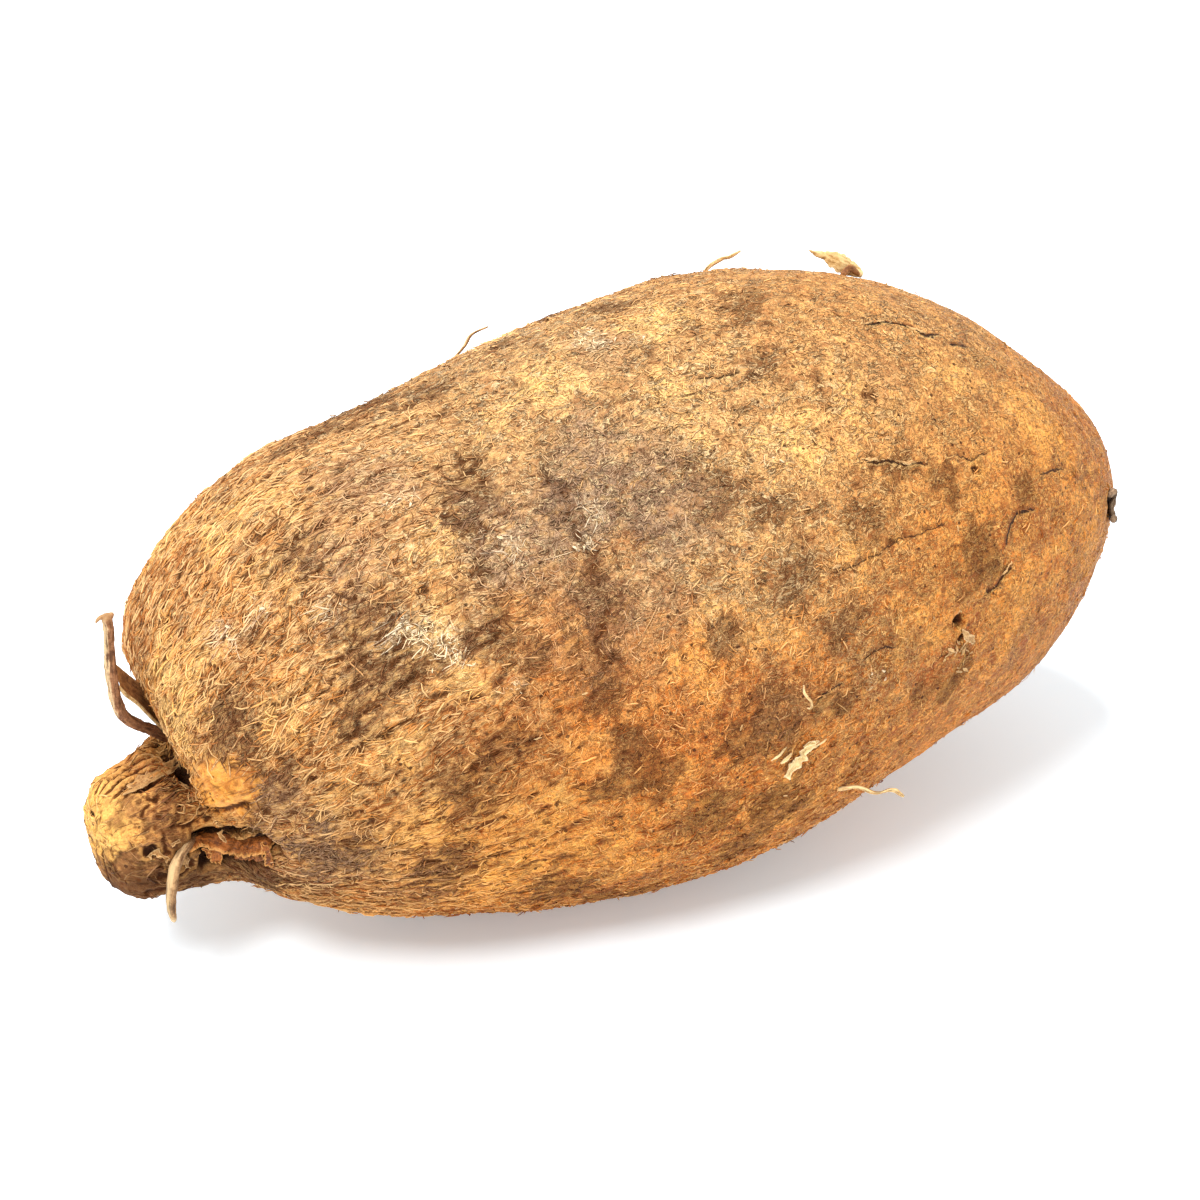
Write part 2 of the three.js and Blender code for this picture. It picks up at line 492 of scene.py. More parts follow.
def read(items, key, count, kind=np.float32):
    """One property of many vertices, edges or faces at once, as a row of numbers."""
    found = np.empty(count, kind)
    items.foreach_get(key, found)
    return found


def places(mesh):
    """The mesh's vertices in millimetres from the middle of the tuber."""
    found = read(mesh.vertices, "co", len(mesh.vertices) * 3)
    return (found.reshape(-1, 3) - np.array(HEART)) / MM


def put_places(mesh, points):
    found = (points * MM + np.array(HEART)).astype(np.float32)
    mesh.vertices.foreach_set("co", found.ravel())
    mesh.update()


def normals(mesh):
    return read(mesh.vertex_normals, "vector", len(mesh.vertices) * 3).reshape(-1, 3)


def edge_ends(mesh):
    """The first and second vertex of every edge."""
    return read(mesh.edges, "vertices", len(mesh.edges) * 2, np.int32).reshape(-1, 2).T


def triangle_count(mesh):
    return len(mesh.loops) - 2 * len(mesh.polygons)


def soften(mesh, rounds):
    """Moves a mesh most of the way to its evened shape."""
    points = places(mesh)
    put_places(mesh, points + SOFTENING * (evened(points, edge_ends(mesh), rounds) - points))


def divide_near(mesh, centre, reach_mm):
    """Divides the squares within a distance of a place into four."""
    bm = bmesh.new()
    bm.from_mesh(mesh)
    near = [
        edge for edge in bm.edges
        if all((corner.co - centre).length < reach_mm * MM for corner in edge.verts)
    ]
    bmesh.ops.subdivide_edges(bm, edges=near, cuts=1, use_grid_fill=True)
    bm.to_mesh(mesh)
    bm.free()


skin_mesh = remeshed(merged_copy("tuber"), SKIN_GRAIN)
soften(skin_mesh, 5)
divide_near(skin_mesh, at(-101, -6, -18), 25)
divide_near(skin_mesh, at(-105, -9, -17), 17)
soften(skin_mesh, 3)
print("skin:", len(skin_mesh.vertices), "vertices,", triangle_count(skin_mesh), "triangles")

# %% [markdown]
# The fibres of a yam run lengthways and draw together at the crown, like the lines of
# longitude on a globe. So each vertex gets a place on the skin that follows them: the angle
# round a gently bent long axis, kept as its cosine and sine so that it has no seam, and a
# distance along the yam. The crown stub has its own axis. Patterns made on these places
# stretch along the grain.

# %% Give the skin its grain
AXIS_DROP = 20.0
GRAIN_RADIUS = 42.0
CROWN_RADIUS = 13.0
FILL_ROUNDS = 260
FILL_GAIN = 1.25
FILL_REACH = 8.0
# The sharp step that the CAD solid has where the crown meets the body is filled in here.
NECK = np.array([(-104, -15, -1), (-100, -13, -9), (-97, -14, -17), (-95, -15, -25)], float)

ends = edge_ends(skin_mesh)
base = places(skin_mesh)
foot = base[:, 2] < -FOOT_DEPTH + 0.35
base[foot, 2] = -FOOT_DEPTH
put_places(skin_mesh, base)
outward = normals(skin_mesh)
neck_distance, _ = nearness(base, NECK, reach=30)
filled = evened(base, ends, FILL_ROUNDS)
gain = ((filled - base) * outward).sum(1) * bell(neck_distance, FILL_REACH)
base += outward * (FILL_GAIN * np.maximum(gain, 0))[:, None]
base = evened(base, ends, 2) * 0.9 + base * 0.1
base[foot, 2] = -FOOT_DEPTH
put_places(skin_mesh, base)
outward = normals(skin_mesh)
square = np.linalg.norm(base[ends[0]] - base[ends[1]], axis=1)
square = sum(np.bincount(side, square, len(base)) for side in ends)
square /= np.bincount(np.concatenate(ends), minlength=len(base))

crown_along = (base - CROWN_FOOT) @ CROWN_AIM
crown_off = base - CROWN_FOOT - np.outer(crown_along, CROWN_AIM)
crown_reach = np.linalg.norm(crown_off, axis=1)
on_crown = rise(crown_along, 1, 7) * rise(-crown_reach, -19, -14)

axis_height = -AXIS_DROP * rise(-base[:, 0], 5, 100)
round_off = np.stack([base[:, 1], base[:, 2] - axis_height], axis=1)
round_reach = np.linalg.norm(round_off, axis=1)
round_way = round_off / np.maximum(round_reach, 1e-6)[:, None]
body_grain = np.column_stack([
    round_way * GRAIN_RADIUS,
    base[:, 0] + 0.8 * round_reach,
])
crown_way = crown_off[:, 1:] / np.maximum(crown_reach, 1e-6)[:, None]
crown_grain = np.column_stack([crown_way * CROWN_RADIUS, 150 + crown_along])
grain = np.where(on_crown[:, None] > 0.5, crown_grain, body_grain)
crown_end = on_crown * rise(crown_along, 17, 25)
fibrous = rise(-base[:, 0], 12, 72) * (1 - 0.55 * on_crown) * (1 - 0.7 * crown_end)
print("on the crown:", int((on_crown > 0.5).sum()), "vertices")
print("squares, mm:", round(float(square.min()), 2), "to", round(float(square.max()), 2))

# %% [markdown]
# Marks are drawn as paths on the skin. A place is given as a distance along the yam from its
# middle, and an angle round it: 0 is the top, 90 faces front and 180 is underneath. A ray
# towards the long axis finds the surface there.

# %% Find places on the skin
skin_tree = BVHTree.FromPolygons(
    [Vector(point) for point in base], [list(face.vertices) for face in skin_mesh.polygons]
)
RAY_START = 150  # farther out than any of the skin, mm


def on_skin(along, degrees):
    """The place on the skin at a distance along the yam and an angle round it."""
    turn = math.radians(degrees)
    ray = Vector((0, -math.sin(turn), math.cos(turn)))
    return np.array(skin_tree.ray_cast(Vector((along, 0, 0)) + ray * RAY_START, -ray)[0])


def draped(stops, spacing=0.8):
    """A smooth path through some places, laid on the skin."""
    stops = np.asarray(stops, float)
    long = np.linalg.norm(np.diff(stops, axis=0), axis=1).sum()
    line = smooth_path(stops, max(round(long / spacing), 2) + 1)
    return np.array([skin_tree.find_nearest(Vector(place))[0] for place in line])


def skin_path(*stops):
    return draped([on_skin(*stop) for stop in stops])


print("top of the middle, mm:", on_skin(0, 0).round(1))

# %% [markdown]
# Now the skin is sculpted. Broad swellings come first, then long ridges where the fibres lie,
# then a fine felt of small bumps. Each is a height in millimetres along the surface normal.

# %% Raise the swellings and the ridges
BARK_RIDGE_DEGREES = 9.0
RIDGE_HEIGHT = 0.42
BARK_HEIGHT = 0.55
CROWN_LUMPS = 0.55
CROWN_FELT = 0.13
ridge_place = grain / np.array([2.1, 2.1, 15.0])
ridge_place = ridge_place + 0.35 * np.column_stack([
    layered(seed, base / 11, 2) for seed in (11, 21, 31)
])
ridges = 1 - 2.2 * np.abs(layered(41, ridge_place, 3, 0.55))
swell = layered(51, base / 34, 2) * 0.7 + layered(61, base / 11, 2) * 0.32
felt = layered(71, base / np.array([3.2, 2.4, 2.4]), 2, 0.6)
lumps = layered(81, base / 5.5, 3, 0.6)

calm = 1 - rise(base[:, 0], 10, 70)
BRIDGE_MIDDLE = np.array([-99.8, -22.5, -2.0])
near_bridge = bell(away(base, BRIDGE_MIDDLE), 8.5)
height = swell * (1 - 0.6 * on_crown)
height += RIDGE_HEIGHT * ridges * fibrous * (1 - 0.6 * on_crown) * (1 - 0.95 * near_bridge)
height += felt * (0.14 + 0.1 * calm) * (1 - 0.4 * on_crown)
height += CROWN_LUMPS * lumps * on_crown * (1 - 0.5 * crown_end) * (1 - 0.85 * near_bridge)
height += CROWN_FELT * layered(86, base / 1.7, 2, 0.6) * on_crown

crown_degrees = np.degrees(np.arctan2(-crown_off[:, 1], crown_off[:, 2]))
bark = rise(-crown_reach, -19, -16) * rise(crown_degrees, -80, -60)
bark *= 1 - rise(crown_degrees, 4, 16)
bark *= rise(crown_along, -2, 2) * (1 - rise(crown_along, 20, 24))
bark_turn = crown_degrees + 1.8 * layered(88, base / 7, 2)
bark_wave = np.cos(np.radians(bark_turn * 360 / BARK_RIDGE_DEGREES))
height += BARK_HEIGHT * bark * bark_wave
print("heights, mm:", round(float(height.min()), 2), "to", round(float(height.max()), 2))

# %% [markdown]
# Then come the marks that this yam has: two soft folds across its middle, dents and a scar in
# the tail half. Each one says how wide and deep it is, how much shade is painted into it and how
# wavy its line is.

# %% List the folds, dents and scars of the body
FOLD_HALF_WIDTH = 4.2
# Each fold: depth, then its stops.
folds = [
    (0.75, (-37, 4), (-43, 24), (-47, 35), (-50, 54)),
    (0.85, (-26, 15), (-29, 28), (-29, 45), (-30, 55), (-32, 66), (-34, 90)),
]
LONG_FOLD = [(13, 64), (20, 64), (28, 63), (34, 62), (42, 62), (47, 61)]
CURL_CRACK = [(54.3, 78.6), (55.1, 80.4), (57.2, 80.3), (59.5, 78.6), (62.5, 76.3)]
# Each other mark: half its width, depth (below 0 is a raised line), painted shade, waviness, stops.
body_marks = [
    (1.6, 0.22, 0, 1, *LONG_FOLD),
    (1.6, 0.45, 0.15, 0.9, (29, 46), (33, 47), (40, 49), (45, 50)),
    (1.8, 0.4, 0.1, 1.2, (38, 92), (42, 90.5), (46, 90), (48.4, 94), (45.9, 98), (43, 101)),
    (1.25, 2, 1, 0.3, (45.9, 82), (46, 84.9)),
    (0.85, 1.5, 0.9, 0.3, (46.3, 87), (47, 89.4)),
    (0.8, 0.4, 0.2, 0.4, *CURL_CRACK),
    (0.9, 0.9, 0.85, 0.3, (56, 51.4), (56.7, 53.4)),
    (2, 0.6, 0, 0.6, (36, 31), (40, 33)),
]
print("folds and marks of the body:", len(folds) + len(body_marks))

# %% [markdown]
# The crown is knobbly, and the skin round it is pinched, creased and torn. Its marks are paths
# too, given as places in space, or as a distance along the stub and an angle round it.

# %% List the marks of the crown
def crown_spot(along, degrees, out=13):
    """A place on the crown stub: distance along it, angle round it, distance out from it."""
    turn = math.radians(degrees)
    return CROWN_FOOT + CROWN_AIM * along + out * np.array([0, -math.sin(turn), math.cos(turn)])


def crown_path(*stops):
    return draped([crown_spot(*stop) for stop in stops])


def path(*stops):
    return draped(stops, spacing=0.5)


# Swellings of the stub and one of the tail: the middle of each, its reach and its height.
crown_swellings = [
    (crown_spot(24, -20, 9), 6, 1.9), (crown_spot(12, -32, 13), 9, 1.3),
    (crown_spot(4, -35, 14), 6, 2.4), (crown_spot(21, 150, 11), 8, 2),
    (crown_spot(10, 140, 13), 7, 1.2), ((-101, -22, 0), 6, 0.3), ((106, -20, 2), 24, 1.1),
]
slit = path(
    (-103.4, -12.9, -19.6), (-102.2, -12.8, -19.1), (-101.2, -12.6, -18.7), (-99.4, -13, -18.5),
    (-97.7, -14.7, -18.2), (-97.2, -16.1, -17.5), (-97.6, -19.7, -15.3), (-97.4, -22.4, -13.7),
    (-96.1, -25.8, -12.7), (-94.7, -27.7, -12.7), (-93.3, -28.3, -14.8), (-92.3, -28.1, -17),
    (-91.5, -27.2, -19.9),
)
rim = path(
    (-102.9, -12.9, -20.5), (-101.5, -12.9, -20.2), (-100, -13, -20.3), (-98.3, -13.6, -21.4),
    (-96.9, -14.6, -22.2), (-95.9, -15.5, -22.5), (-95.2, -17.2, -22.1), (-95.3, -20.2, -20.4),
    (-95, -23, -18.8), (-94.7, -24.8, -17.3), (-94, -26.4, -16.2), (-93.4, -27.2, -16.4),
)
MOUTH_HALF = (1, 1.5, 2.4, 3.2, 3.4, 3.4, 3.2, 3, 2.6, 1.6)
MOUTH_DEPTH = 2.8
# Each mark of the crown: path, half its width, depth, painted shade, waviness.
crown_marks = [
    # The crevice where the crown meets the body, and the hole below it.
    (path((-97, 8, -10), (-98.8, 4.1, -9.5), (-98.2, 0.9, -8.7), (-98.3, -3.7, -8.6),
          (-98.8, -7.7, -8.8), (-99.1, -10.3, -9.7)), 2.6, 5.2, 1, 0.4),
    (path((-99.8, 4.5, -8.7), (-100, 0.8, -7.8), (-100.2, -3.7, -7.9), (-100.4, -7.4, -8.3)),
     1.5, 1.5, 0.9, 0.3),
    (path((-99.2, -11.2, -11.2), (-99.2, -12, -12.6)), 1.2, 1.6, 1, 0.3),
    # The wrinkle that runs from the smooth bridge on to the body.
    (path((-99.3, -11.6, -13.6), (-98.7, -13.1, -13), (-99.7, -18.4, -9.9), (-99.6, -21.5, -8.2),
          (-99.1, -23.6, -7), (-98.4, -25.3, -6.1), (-97.4, -27.1, -5), (-96.3, -28.7, -3.5)),
     0.8, 1, 0.5, 0.25),
    (path((-99.8, -12.2, -12), (-100.2, -18, -8.6), (-99.9, -22, -6.7), (-98.6, -25.6, -4.5),
          (-96.6, -28.8, -2)), 1.1, -0.3, 0, 0.3),
    (path((-103, -18.6, 1), (-101.8, -21.8, 4.2), (-99.9, -25, 4.2), (-98.2, -27, 2)),
     1.2, 0.3, 0, 0.2),
    # The lip over the torn pocket.
    (path((-103.5, -12.5, -18.1), (-101.3, -12.3, -17.3), (-99, -12.9, -17),
          (-97.6, -15.4, -16.2), (-98, -23, -11.5), (-96.4, -26.4, -10.6),
          (-94.7, -28.7, -10.5), (-93.1, -29.6, -12.3), (-91.7, -29.6, -15.4)),
     1, -0.9, 0, 0.3),
    (slit, 1.5, 3, 1, 0.2),
    (slit[len(slit) // 3 :], 2, 2, 1, 0.2),
    (path((-101.6, -12.9, -21.8), (-98.9, -13, -23.8), (-97, -13.2, -25.3),
          (-95.3, -14.4, -25.2), (-94.5, -17.3, -23.8), (-94.3, -21.7, -21.2),
          (-93.6, -24.6, -19.6), (-92.8, -26.2, -18.7)), 2.6, 2.2, 0.9, 0.5),
    # The small hollow beside the cut root.
    (path((-105.2, -12.9, -22.3), (-103.9, -13, -21.3), (-102.9, -12.9, -21.6)),
     1.4, 1.8, 0.9, 0.4),
    (path((-104.6, -12.9, -24.2), (-102.4, -12.8, -23.6)), 1.2, 1, 0.5, 0.5),
    # Creases and furrows on the stub.
    (path((-117.4, -3.5, -20.1), (-117.2, -4.4, -22.4), (-116.7, -4.8, -25.3),
          (-115.7, -4.5, -28.1)), 0.45, 0.8, 0.8, 0.4),
    (path((-116.6, -0.6, -14.8), (-116.9, -0.9, -16)), 0.7, 1, 0.9, 0.3),
]
# The same on the stub: half the width, depth, painted shade, waviness, then the stops.
stub_marks = [
    (0.8, 0.7, 0.6, 0.8, (12, 60), (17, 72), (16, 92)),
    (0.8, 0.8, 0.6, 0.9, (4, 58), (9, 64), (14, 60)),
    (0.7, 0.7, 0.6, 0.9, (6, 40), (10, 46), (13, 42)),
    (0.7, 0.6, 0.5, 0.9, (14, 30), (19, 36), (22, 46)),
    (0.6, 1.1, 0.9, 0.5, (7, 14), (13, 16), (20, 15)),
    (0.6, 0.7, 0.6, 0.9, (8, 22), (14, 28), (19, 27)),
    (0.7, 0.8, 0.7, 0.9, (10, 104), (15, 112), (20, 108)),
    (0.8, 0.8, 0.7, 0.9, (14, 126), (19, 132), (21, 140)),
    (0.6, 0.7, 0.6, 0.8, (8, 130), (20, 150)),
    (0.6, 0.8, 0.7, 0.8, (6, -100), (22, -110)),
    (0.6, 0.8, 0.7, 0.8, (6, -75), (22, -80)),
    (0.6, 0.7, 0.6, 0.8, (6, -140), (22, -150)),
]
print("marks of the crown:", len(crown_marks) + len(stub_marks))

# %% [markdown]
# A mark presses the skin in: most on its path, less and less beside it, and not at all at its
# two ends. Shade is painted into it in the same way. Noise moves the places a little first, so
# that no mark has a ruled edge.

# %% Press the marks in
wander = np.column_stack([layered(seed, base / 2.6, 2) for seed in (91, 96, 101)])
mark_shade = np.zeros(len(base))
fold = np.zeros(len(base))
for spot, reach, gain in crown_swellings:
    height += gain * bell(away(base, spot), reach)
for depth, *stops in folds:
    distance, share = nearness(base + wander * 0.9, skin_path(*stops))
    pressed = bell(distance, FOLD_HALF_WIDTH) * tapered(share, 0.2)
    height -= depth * pressed
    fold = np.maximum(fold, pressed)
marks = [(skin_path(*mark[4:]), *mark[:4]) for mark in body_marks]
marks += crown_marks
marks += [(crown_path(*mark[4:]), *mark[:4]) for mark in stub_marks]
for line, half_width, depth, shade_strength, waviness in marks:
    distance, share = nearness(base + wander * waviness, line)
    taper = tapered(share, 0.22)
    pressed = bell(distance, half_width) * taper
    height -= depth * pressed
    mark_shade = np.maximum(mark_shade, shade_strength * bell(distance / half_width, 0.9) * taper)
# Painted shade in the troughs between the bark ridges of the crown.
mark_shade = np.maximum(mark_shade, 0.8 * bark * rise(-bark_wave, 0.45, 1))
# Round holes: the middle of each, its reach and its depth. Each is painted almost black with shade.
for spot, reach, depth in (
    ((101.2, -24, 3.3), 3, 2.4), ((-98.6, -12.8, -24.8), 3.4, 1.8),
    ((-104.9, -12.9, -22), 1.9, 1.6), ((-102.2, -12.4, -3.4), 3, 2),
    ((-110.6, -11.8, -19.2), 1.8, 1),
):
    pressed = 1 - rise(away(base + wander * 0.5, spot), 0.5 * reach, reach)
    height -= depth * pressed
    mark_shade = np.maximum(mark_shade, 0.97 * pressed)

distance, share = nearness(base + wander * 0.3, rim)
mouth_half = np.interp(share, np.linspace(0, 1, len(MOUTH_HALF)), MOUTH_HALF)
mouth = 1 - rise(distance / mouth_half, 0.72, 1.05)
height -= MOUTH_DEPTH * mouth
# Painted shade in the mouth of the pocket.
mark_shade = np.maximum(mark_shade, 0.92 * mouth)
print("darkened by marks, share of vertices:", round(float((mark_shade > 0.5).mean()), 3))

# %% [markdown]
# Fine cracks are thinner than the squares of this mesh. So each vertex keeps how far it lies to
# one side of the nearest crack. That number passes through 0 right on the crack, even between
# vertices, so the finish can paint a line of shade there as thin as it likes, with more painted
# shade on one side and a pale lip on the other.

# %% Lay out the fine cracks
# Each crack: how open it is, how pale its lip is, then its stops.
cracks = [
    (1.9, 0.7, (46, 15), (53, 14), (59, 16), (60, 18), (65, 17)),
    (1.9, 0.5, (65, 20), (70, 20)),
    (0.9, 0.5, (29, 45), (33, 46), (40, 48), (45, 49)),
    (0.62, 0.1, *LONG_FOLD),
    (1.4, 0.4, (60.5, 72), (61.7, 69), (63.2, 66.3), (65.8, 64.8), (68.6, 65.5), (71.5, 65.5)),
    (1.2, 0.9, *CURL_CRACK),
    (0.9, 0.2, (74, 58), (78.6, 57.7), (83.5, 57.7)),
    (1, 0.3, (8, 89), (12, 87), (16, 87)),
    (0.3, 0.9, (46, 81), (46.5, 86), (47.4, 90), (48.4, 94), (45.9, 98)),
    (0.9, 0.4, (-30, 134), (-25, 132), (-19, 130)),
    (1.2, 0.6, (6, 18), (10, 20), (15, 20)),
    (0.8, 0, (20, 84), (24, 82), (29, 83)),
    (0.7, 0.4, (52, 48), (56, 50), (62, 49)),
    (0.9, 0.6, (30, -40), (41, -42), (50, -39)),
    (0.8, 0.4, (-10, -70), (2, -74), (14, -71)),
    (0.9, 0.3, (58, -95), (66, -99), (75, -97)),
]
CRACK_REACH = 3.0
crack = np.full(len(base), CRACK_REACH)
crack_open = np.zeros(len(base))
crack_lip = np.zeros(len(base))
for strength, lip, *stops in cracks:
    offset, share = nearness(base, skin_path(*stops), outward)
    taper = tapered(share, 0.15) * (1 - rise(np.abs(offset), 1.8, 2.8))
    nearer = strength * taper > crack_open
    crack[nearer] = np.clip(offset[nearer], -CRACK_REACH, CRACK_REACH)
    crack_open[nearer] = (strength * taper)[nearer]
    crack_lip[nearer] = (lip * taper)[nearer]
print("cracks:", len(cracks))

# %% [markdown]
# The heights are applied, and the result is kept above the table and inside the CAD box. Then
# each vertex is compared with the evened surface round it. Where it lies lower, shade is painted
# in, and where it stands proud, the skin is made paler.

# %% Apply the heights and find the hollows
height = np.where(foot, 0, height)
sculpted = base + outward * height[:, None]
sculpted[:, 2] = np.maximum(sculpted[:, 2], -FOOT_DEPTH)
BOX_SLACK = 0.4
box_low = (np.array(tuber_low) - np.array(HEART)) / MM - BOX_SLACK
box_high = (np.array(tuber_high) - np.array(HEART)) / MM + BOX_SLACK
sculpted = np.clip(sculpted, box_low, box_high)
put_places(skin_mesh, sculpted)

fine_hollow = ((evened(sculpted, ends, 2) - sculpted) * outward).sum(1)
wide_hollow = ((evened(sculpted, ends, 12) - sculpted) * outward).sum(1)
wide_hollow -= ((evened(base, ends, 12) - base) * outward).sum(1)
fine_share = np.clip(fine_hollow / (0.15 * square), -1.5, 1.5)
wide_share = np.clip(wide_hollow / (0.5 * np.maximum(square, 0.6)), -1, 1)
hollow = 0.5 * fine_share + 0.5 * wide_share
print("hollow, share of vertices over 0.3:", round(float((hollow > 0.3).mean()), 3))

# %% [markdown]
# A yam is never one brown. Damp soil dries in dark patches, grey dust clings to the middle,
# the rubbed places are straw yellow and the belly is a warmer orange. The main patches of this
# yam are listed as distance along, angle round, size in millimetres and strength. The
# back and the underside get a few more of each kind, from a seeded draw.

# %% Lay out the patches of soil, dust and rubbed skin
soil_patches = [
    (-46, 26, 7, 0.8), (-30, 34, 6, 0.9), (-31, 58, 7, 0.9), (-97, 64, 6, 0.9), (-1, 91, 8, 1),
    (-61, 91, 8, 0.6), (7, 62, 6, 0.6), (-73, 46, 8, 0.9), (6, 112, 8, 0.9), (-95, 90, 7, 0.7),
    (-79, 68, 6, 0.7), (51, 70, 8, 0.8), (-29, 94, 9, 0.9), (-62, 118, 9, 0.6), (35, 48, 6, 0.6),
    (48, 54, 5, 0.6), (-53, 82, 6, 0.6), (28, 3, 8, 0.5), (-12, 110, 7, 0.8), (-36, 132, 9, 0.6),
    (7, 49, 6, 0.5), (46, 98, 3.5, 1), (-77, 21, 8, 0.7), (-34, 74, 6, 0.7), (-2, 42, 7, 0.6),
    (-44, 65, 6, 0.7), (-70, 59, 7, 0.8), (-52, 57, 6, 0.6), (15, 78, 6, 0.6), (70.5, 60, 3.5, 0.9),
    (22, 20, 7, 0.5), (-8, 72, 5, 0.5), (-100, 96, 5, 0.4), (-84, 112, 10, 0.7), (14, 90, 5, 0.6),
    (-6, 40, 8, 0.5), (26, 56, 6, 0.4), (36, 96, 6, 0.4), (-19, 46, 5, 0.5), (0, 124, 8, 0.6),
    (48.5, 94, 2.5, 0.9), (43.5, 101, 3, 0.9), (56, 74, 4, 0.6),
]
dust_patches = [
    (-22, 35, 18, 1), (-13, 44, 12, 0.8), (-40, 40, 15, 0.9), (-30, 62, 13, 0.7),
    (-60, 10, 14, 0.6), (-70, 30, 10, 0.5), (-84, 112, 14, 0.9), (-66, 122, 12, 0.4),
    (-92, 95, 8, 0.6), (-20, 60, 10, 0.5), (-5, 0, 8, 0.5), (0, 90, 8, 0.4), (40, 28, 12, 0.3),
]
pale_patches = [
    (-104, 45, 9, 1), (-103, 25, 8, 0.9), (-58, 66, 5, 0.9), (17, 37, 9, 0.8), (-63, 53, 5, 0.9),
    (-89, 63, 5, 0.7), (-4, 32, 7, 0.7), (9, -2, 8, 0.8), (-18, 3, 8, 0.7), (-32, 6, 6, 0.6),
    (34, 30, 8, 0.7), (-85, 94, 6, 0.8), (-70, 97, 6, 0.7), (-83, 19, 6, 0.5), (-74, 2, 8, 0.4),
    (-54, 35, 6, 0.7), (35, 81, 7, 0.6), (-55, 106, 6, 0.5), (-14, 76, 7, 0.6), (-1, 16, 7, 0.6),
    (-39, 87, 6, 0.5), (23, 61, 6, 0.5), (79, 48, 10, 0.5), (0, 73, 6, 0.5), (-9, 67, 5, 0.5),
    (-21, 97, 6, 0.4), (60, 90, 10, 0.4), (-34, 114, 6, 0.5), (88, 70, 9, 0.4), (60, 30, 9, 0.4),
    (-100, 25, 8, 0.6), (-66, 106, 9, 0.8), (-48, 116, 9, 0.7), (-78, 104, 7, 0.7),
    (-26, 124, 8, 0.6), (8, 116, 8, 0.5), (72, 84, 10, 0.5), (90, 84, 8, 0.5), (-52, 128, 8, 0.6),
    (-72, 80, 5, 0.6), (-44, 100, 6, 0.7),
]
# The unseen rest of the skin: how many more of each kind, their sizes and their strengths.
draw = np.random.default_rng(7)
for listing, count, size, strength in (
    (soil_patches, 46, (4, 11), (0.3, 0.8)),
    (dust_patches, 14, (9, 15), (0.4, 0.9)),
    (pale_patches, 40, (5, 9), (0.4, 0.8)),
):
    for _ in range(count):
        place = draw.uniform(-95, 100), draw.uniform(140, 352)
        listing.append((*place, draw.uniform(*size), draw.uniform(*strength)))

papery_patches = [
    (-68, 52, 3, 0.9), (-64, 52, 3, 0.9), (-61, 56, 3.5, 1), (-59, 59, 3, 0.9), (-30, 44, 3, 0.8),
    (-43, 39, 3, 0.7), (-25, 37, 3, 0.6), (-5, -8, 3.5, 0.9), (-3, -2, 3, 0.8), (3, 2, 2.5, 0.6),
    (-78, 40, 3, 0.5), (-93, 30, 3, 0.5), (-87, 31, 3, 0.5), (-58, 20, 3, 0.5), (12, 40, 2.5, 0.5),
    (-50, 70, 2.5, 0.5), (24, 88, 3, 0.6),
]
amber_patches = [(-35, 72, 24, 1), (-15, 84, 20, 1), (-50, 80, 12, 0.6), (6, 80, 14, 0.6)]
print("patches:", len(soil_patches), len(dust_patches), len(pale_patches))

# %% [markdown]
# The crown has patches of its own: damp soil and mud in its shade, a smooth golden bridge to
# the body, rubbed straw on its end and reddish bark where it is torn. Here a patch is given by
# its middle in x, y and z, its size and its strength.

# %% Lay out the patches of the crown
crown_soil = [
    (-114.5, -9.6, -25, 8, 1), (-110.6, -10.5, -27, 10, 1), (-114.6, -5.3, -30, 9, 1),
    (-106, -12, -28, 9, 1), (-111, -12, -21, 6, 0.9), (-100, -8, -33, 10, 0.9),
    (-104, -14, -13, 6, 0.6), (-112, -9, -17.5, 5, 0.5), (-107, -8.5, -11, 5, 0.6),
    (-95, -14, -28, 8, 0.9), (-107, -13, -23, 6, 0.8), (-116, -6, -26, 5, 0.7),
    (-99, -12, -30, 8, 1), (-98, -19, -9, 4, 0.5), (-96, -28, -8, 6, 0.7),
    (-108, -9, -14, 5, 0.6), (-103, -9, -8, 4, 0.6), (-105, -5, -6, 4, 0.5),
    (-112, -6, -13, 4, 0.5), (-93, -22, -26, 8, 0.9), (-108, -12, -26, 11, 1),
    (-103, -10, -32, 10, 1), (-113, -8, -28, 9, 1),
]
crown_pale = [
    (-113, -1, -12, 6, 0.9), (-115, -5, -15, 6, 1), (-118, -2, -18, 6, 1),
    (-117.5, -3.5, -23, 4, 0.7), (-96, 4, -5, 7, 1), (-97, -6, -1, 7, 1), (-99, -13, 4, 6, 0.9),
    (-101, -22, 0, 6, 0.8),
]
crown_bridge = [
    (-101.5, -20.5, -1, 7, 1), (-100, -24, 0, 7, 1), (-98, -27, -1, 6, 0.9),
    (-100.6, -19, -6, 7, 1), (-99, -25, -4.5, 6, 0.9), (-100.5, -15, -9.5, 5, 0.9),
    (-102.6, -13.5, -15, 4, 0.5),
]
crown_mud = [
    (-108, -12, -29, 9, 1), (-112, -9, -30, 8, 1), (-102, -12, -32, 9, 0.9),
    (-96, -16, -26, 8, 0.9), (-92, -24, -24, 8, 0.9), (-88, -30, -27, 7, 0.8),
    (-105, -13, -20, 6, 0.7), (-99, -15, -16, 5, 0.6), (-84, -24, -36, 8, 0.5),
    (-114, -8, -25, 5, 0.7), (-101, -9, -9, 4, 0.4), (-94, -14, -36, 8, 0.8),
    (-105, -13, -13, 6, 0.5), (-100, -13, -13, 5, 0.5), (-108, -12, -17, 4, 0.4),
    (-96, -19, -17, 5, 0.6), (-90, -20, -33, 8, 0.7), (-86, -16, -38, 8, 0.6),
    (-80, -28, -34, 7, 0.4), (-99, -13, -20, 5, 0.7),
]
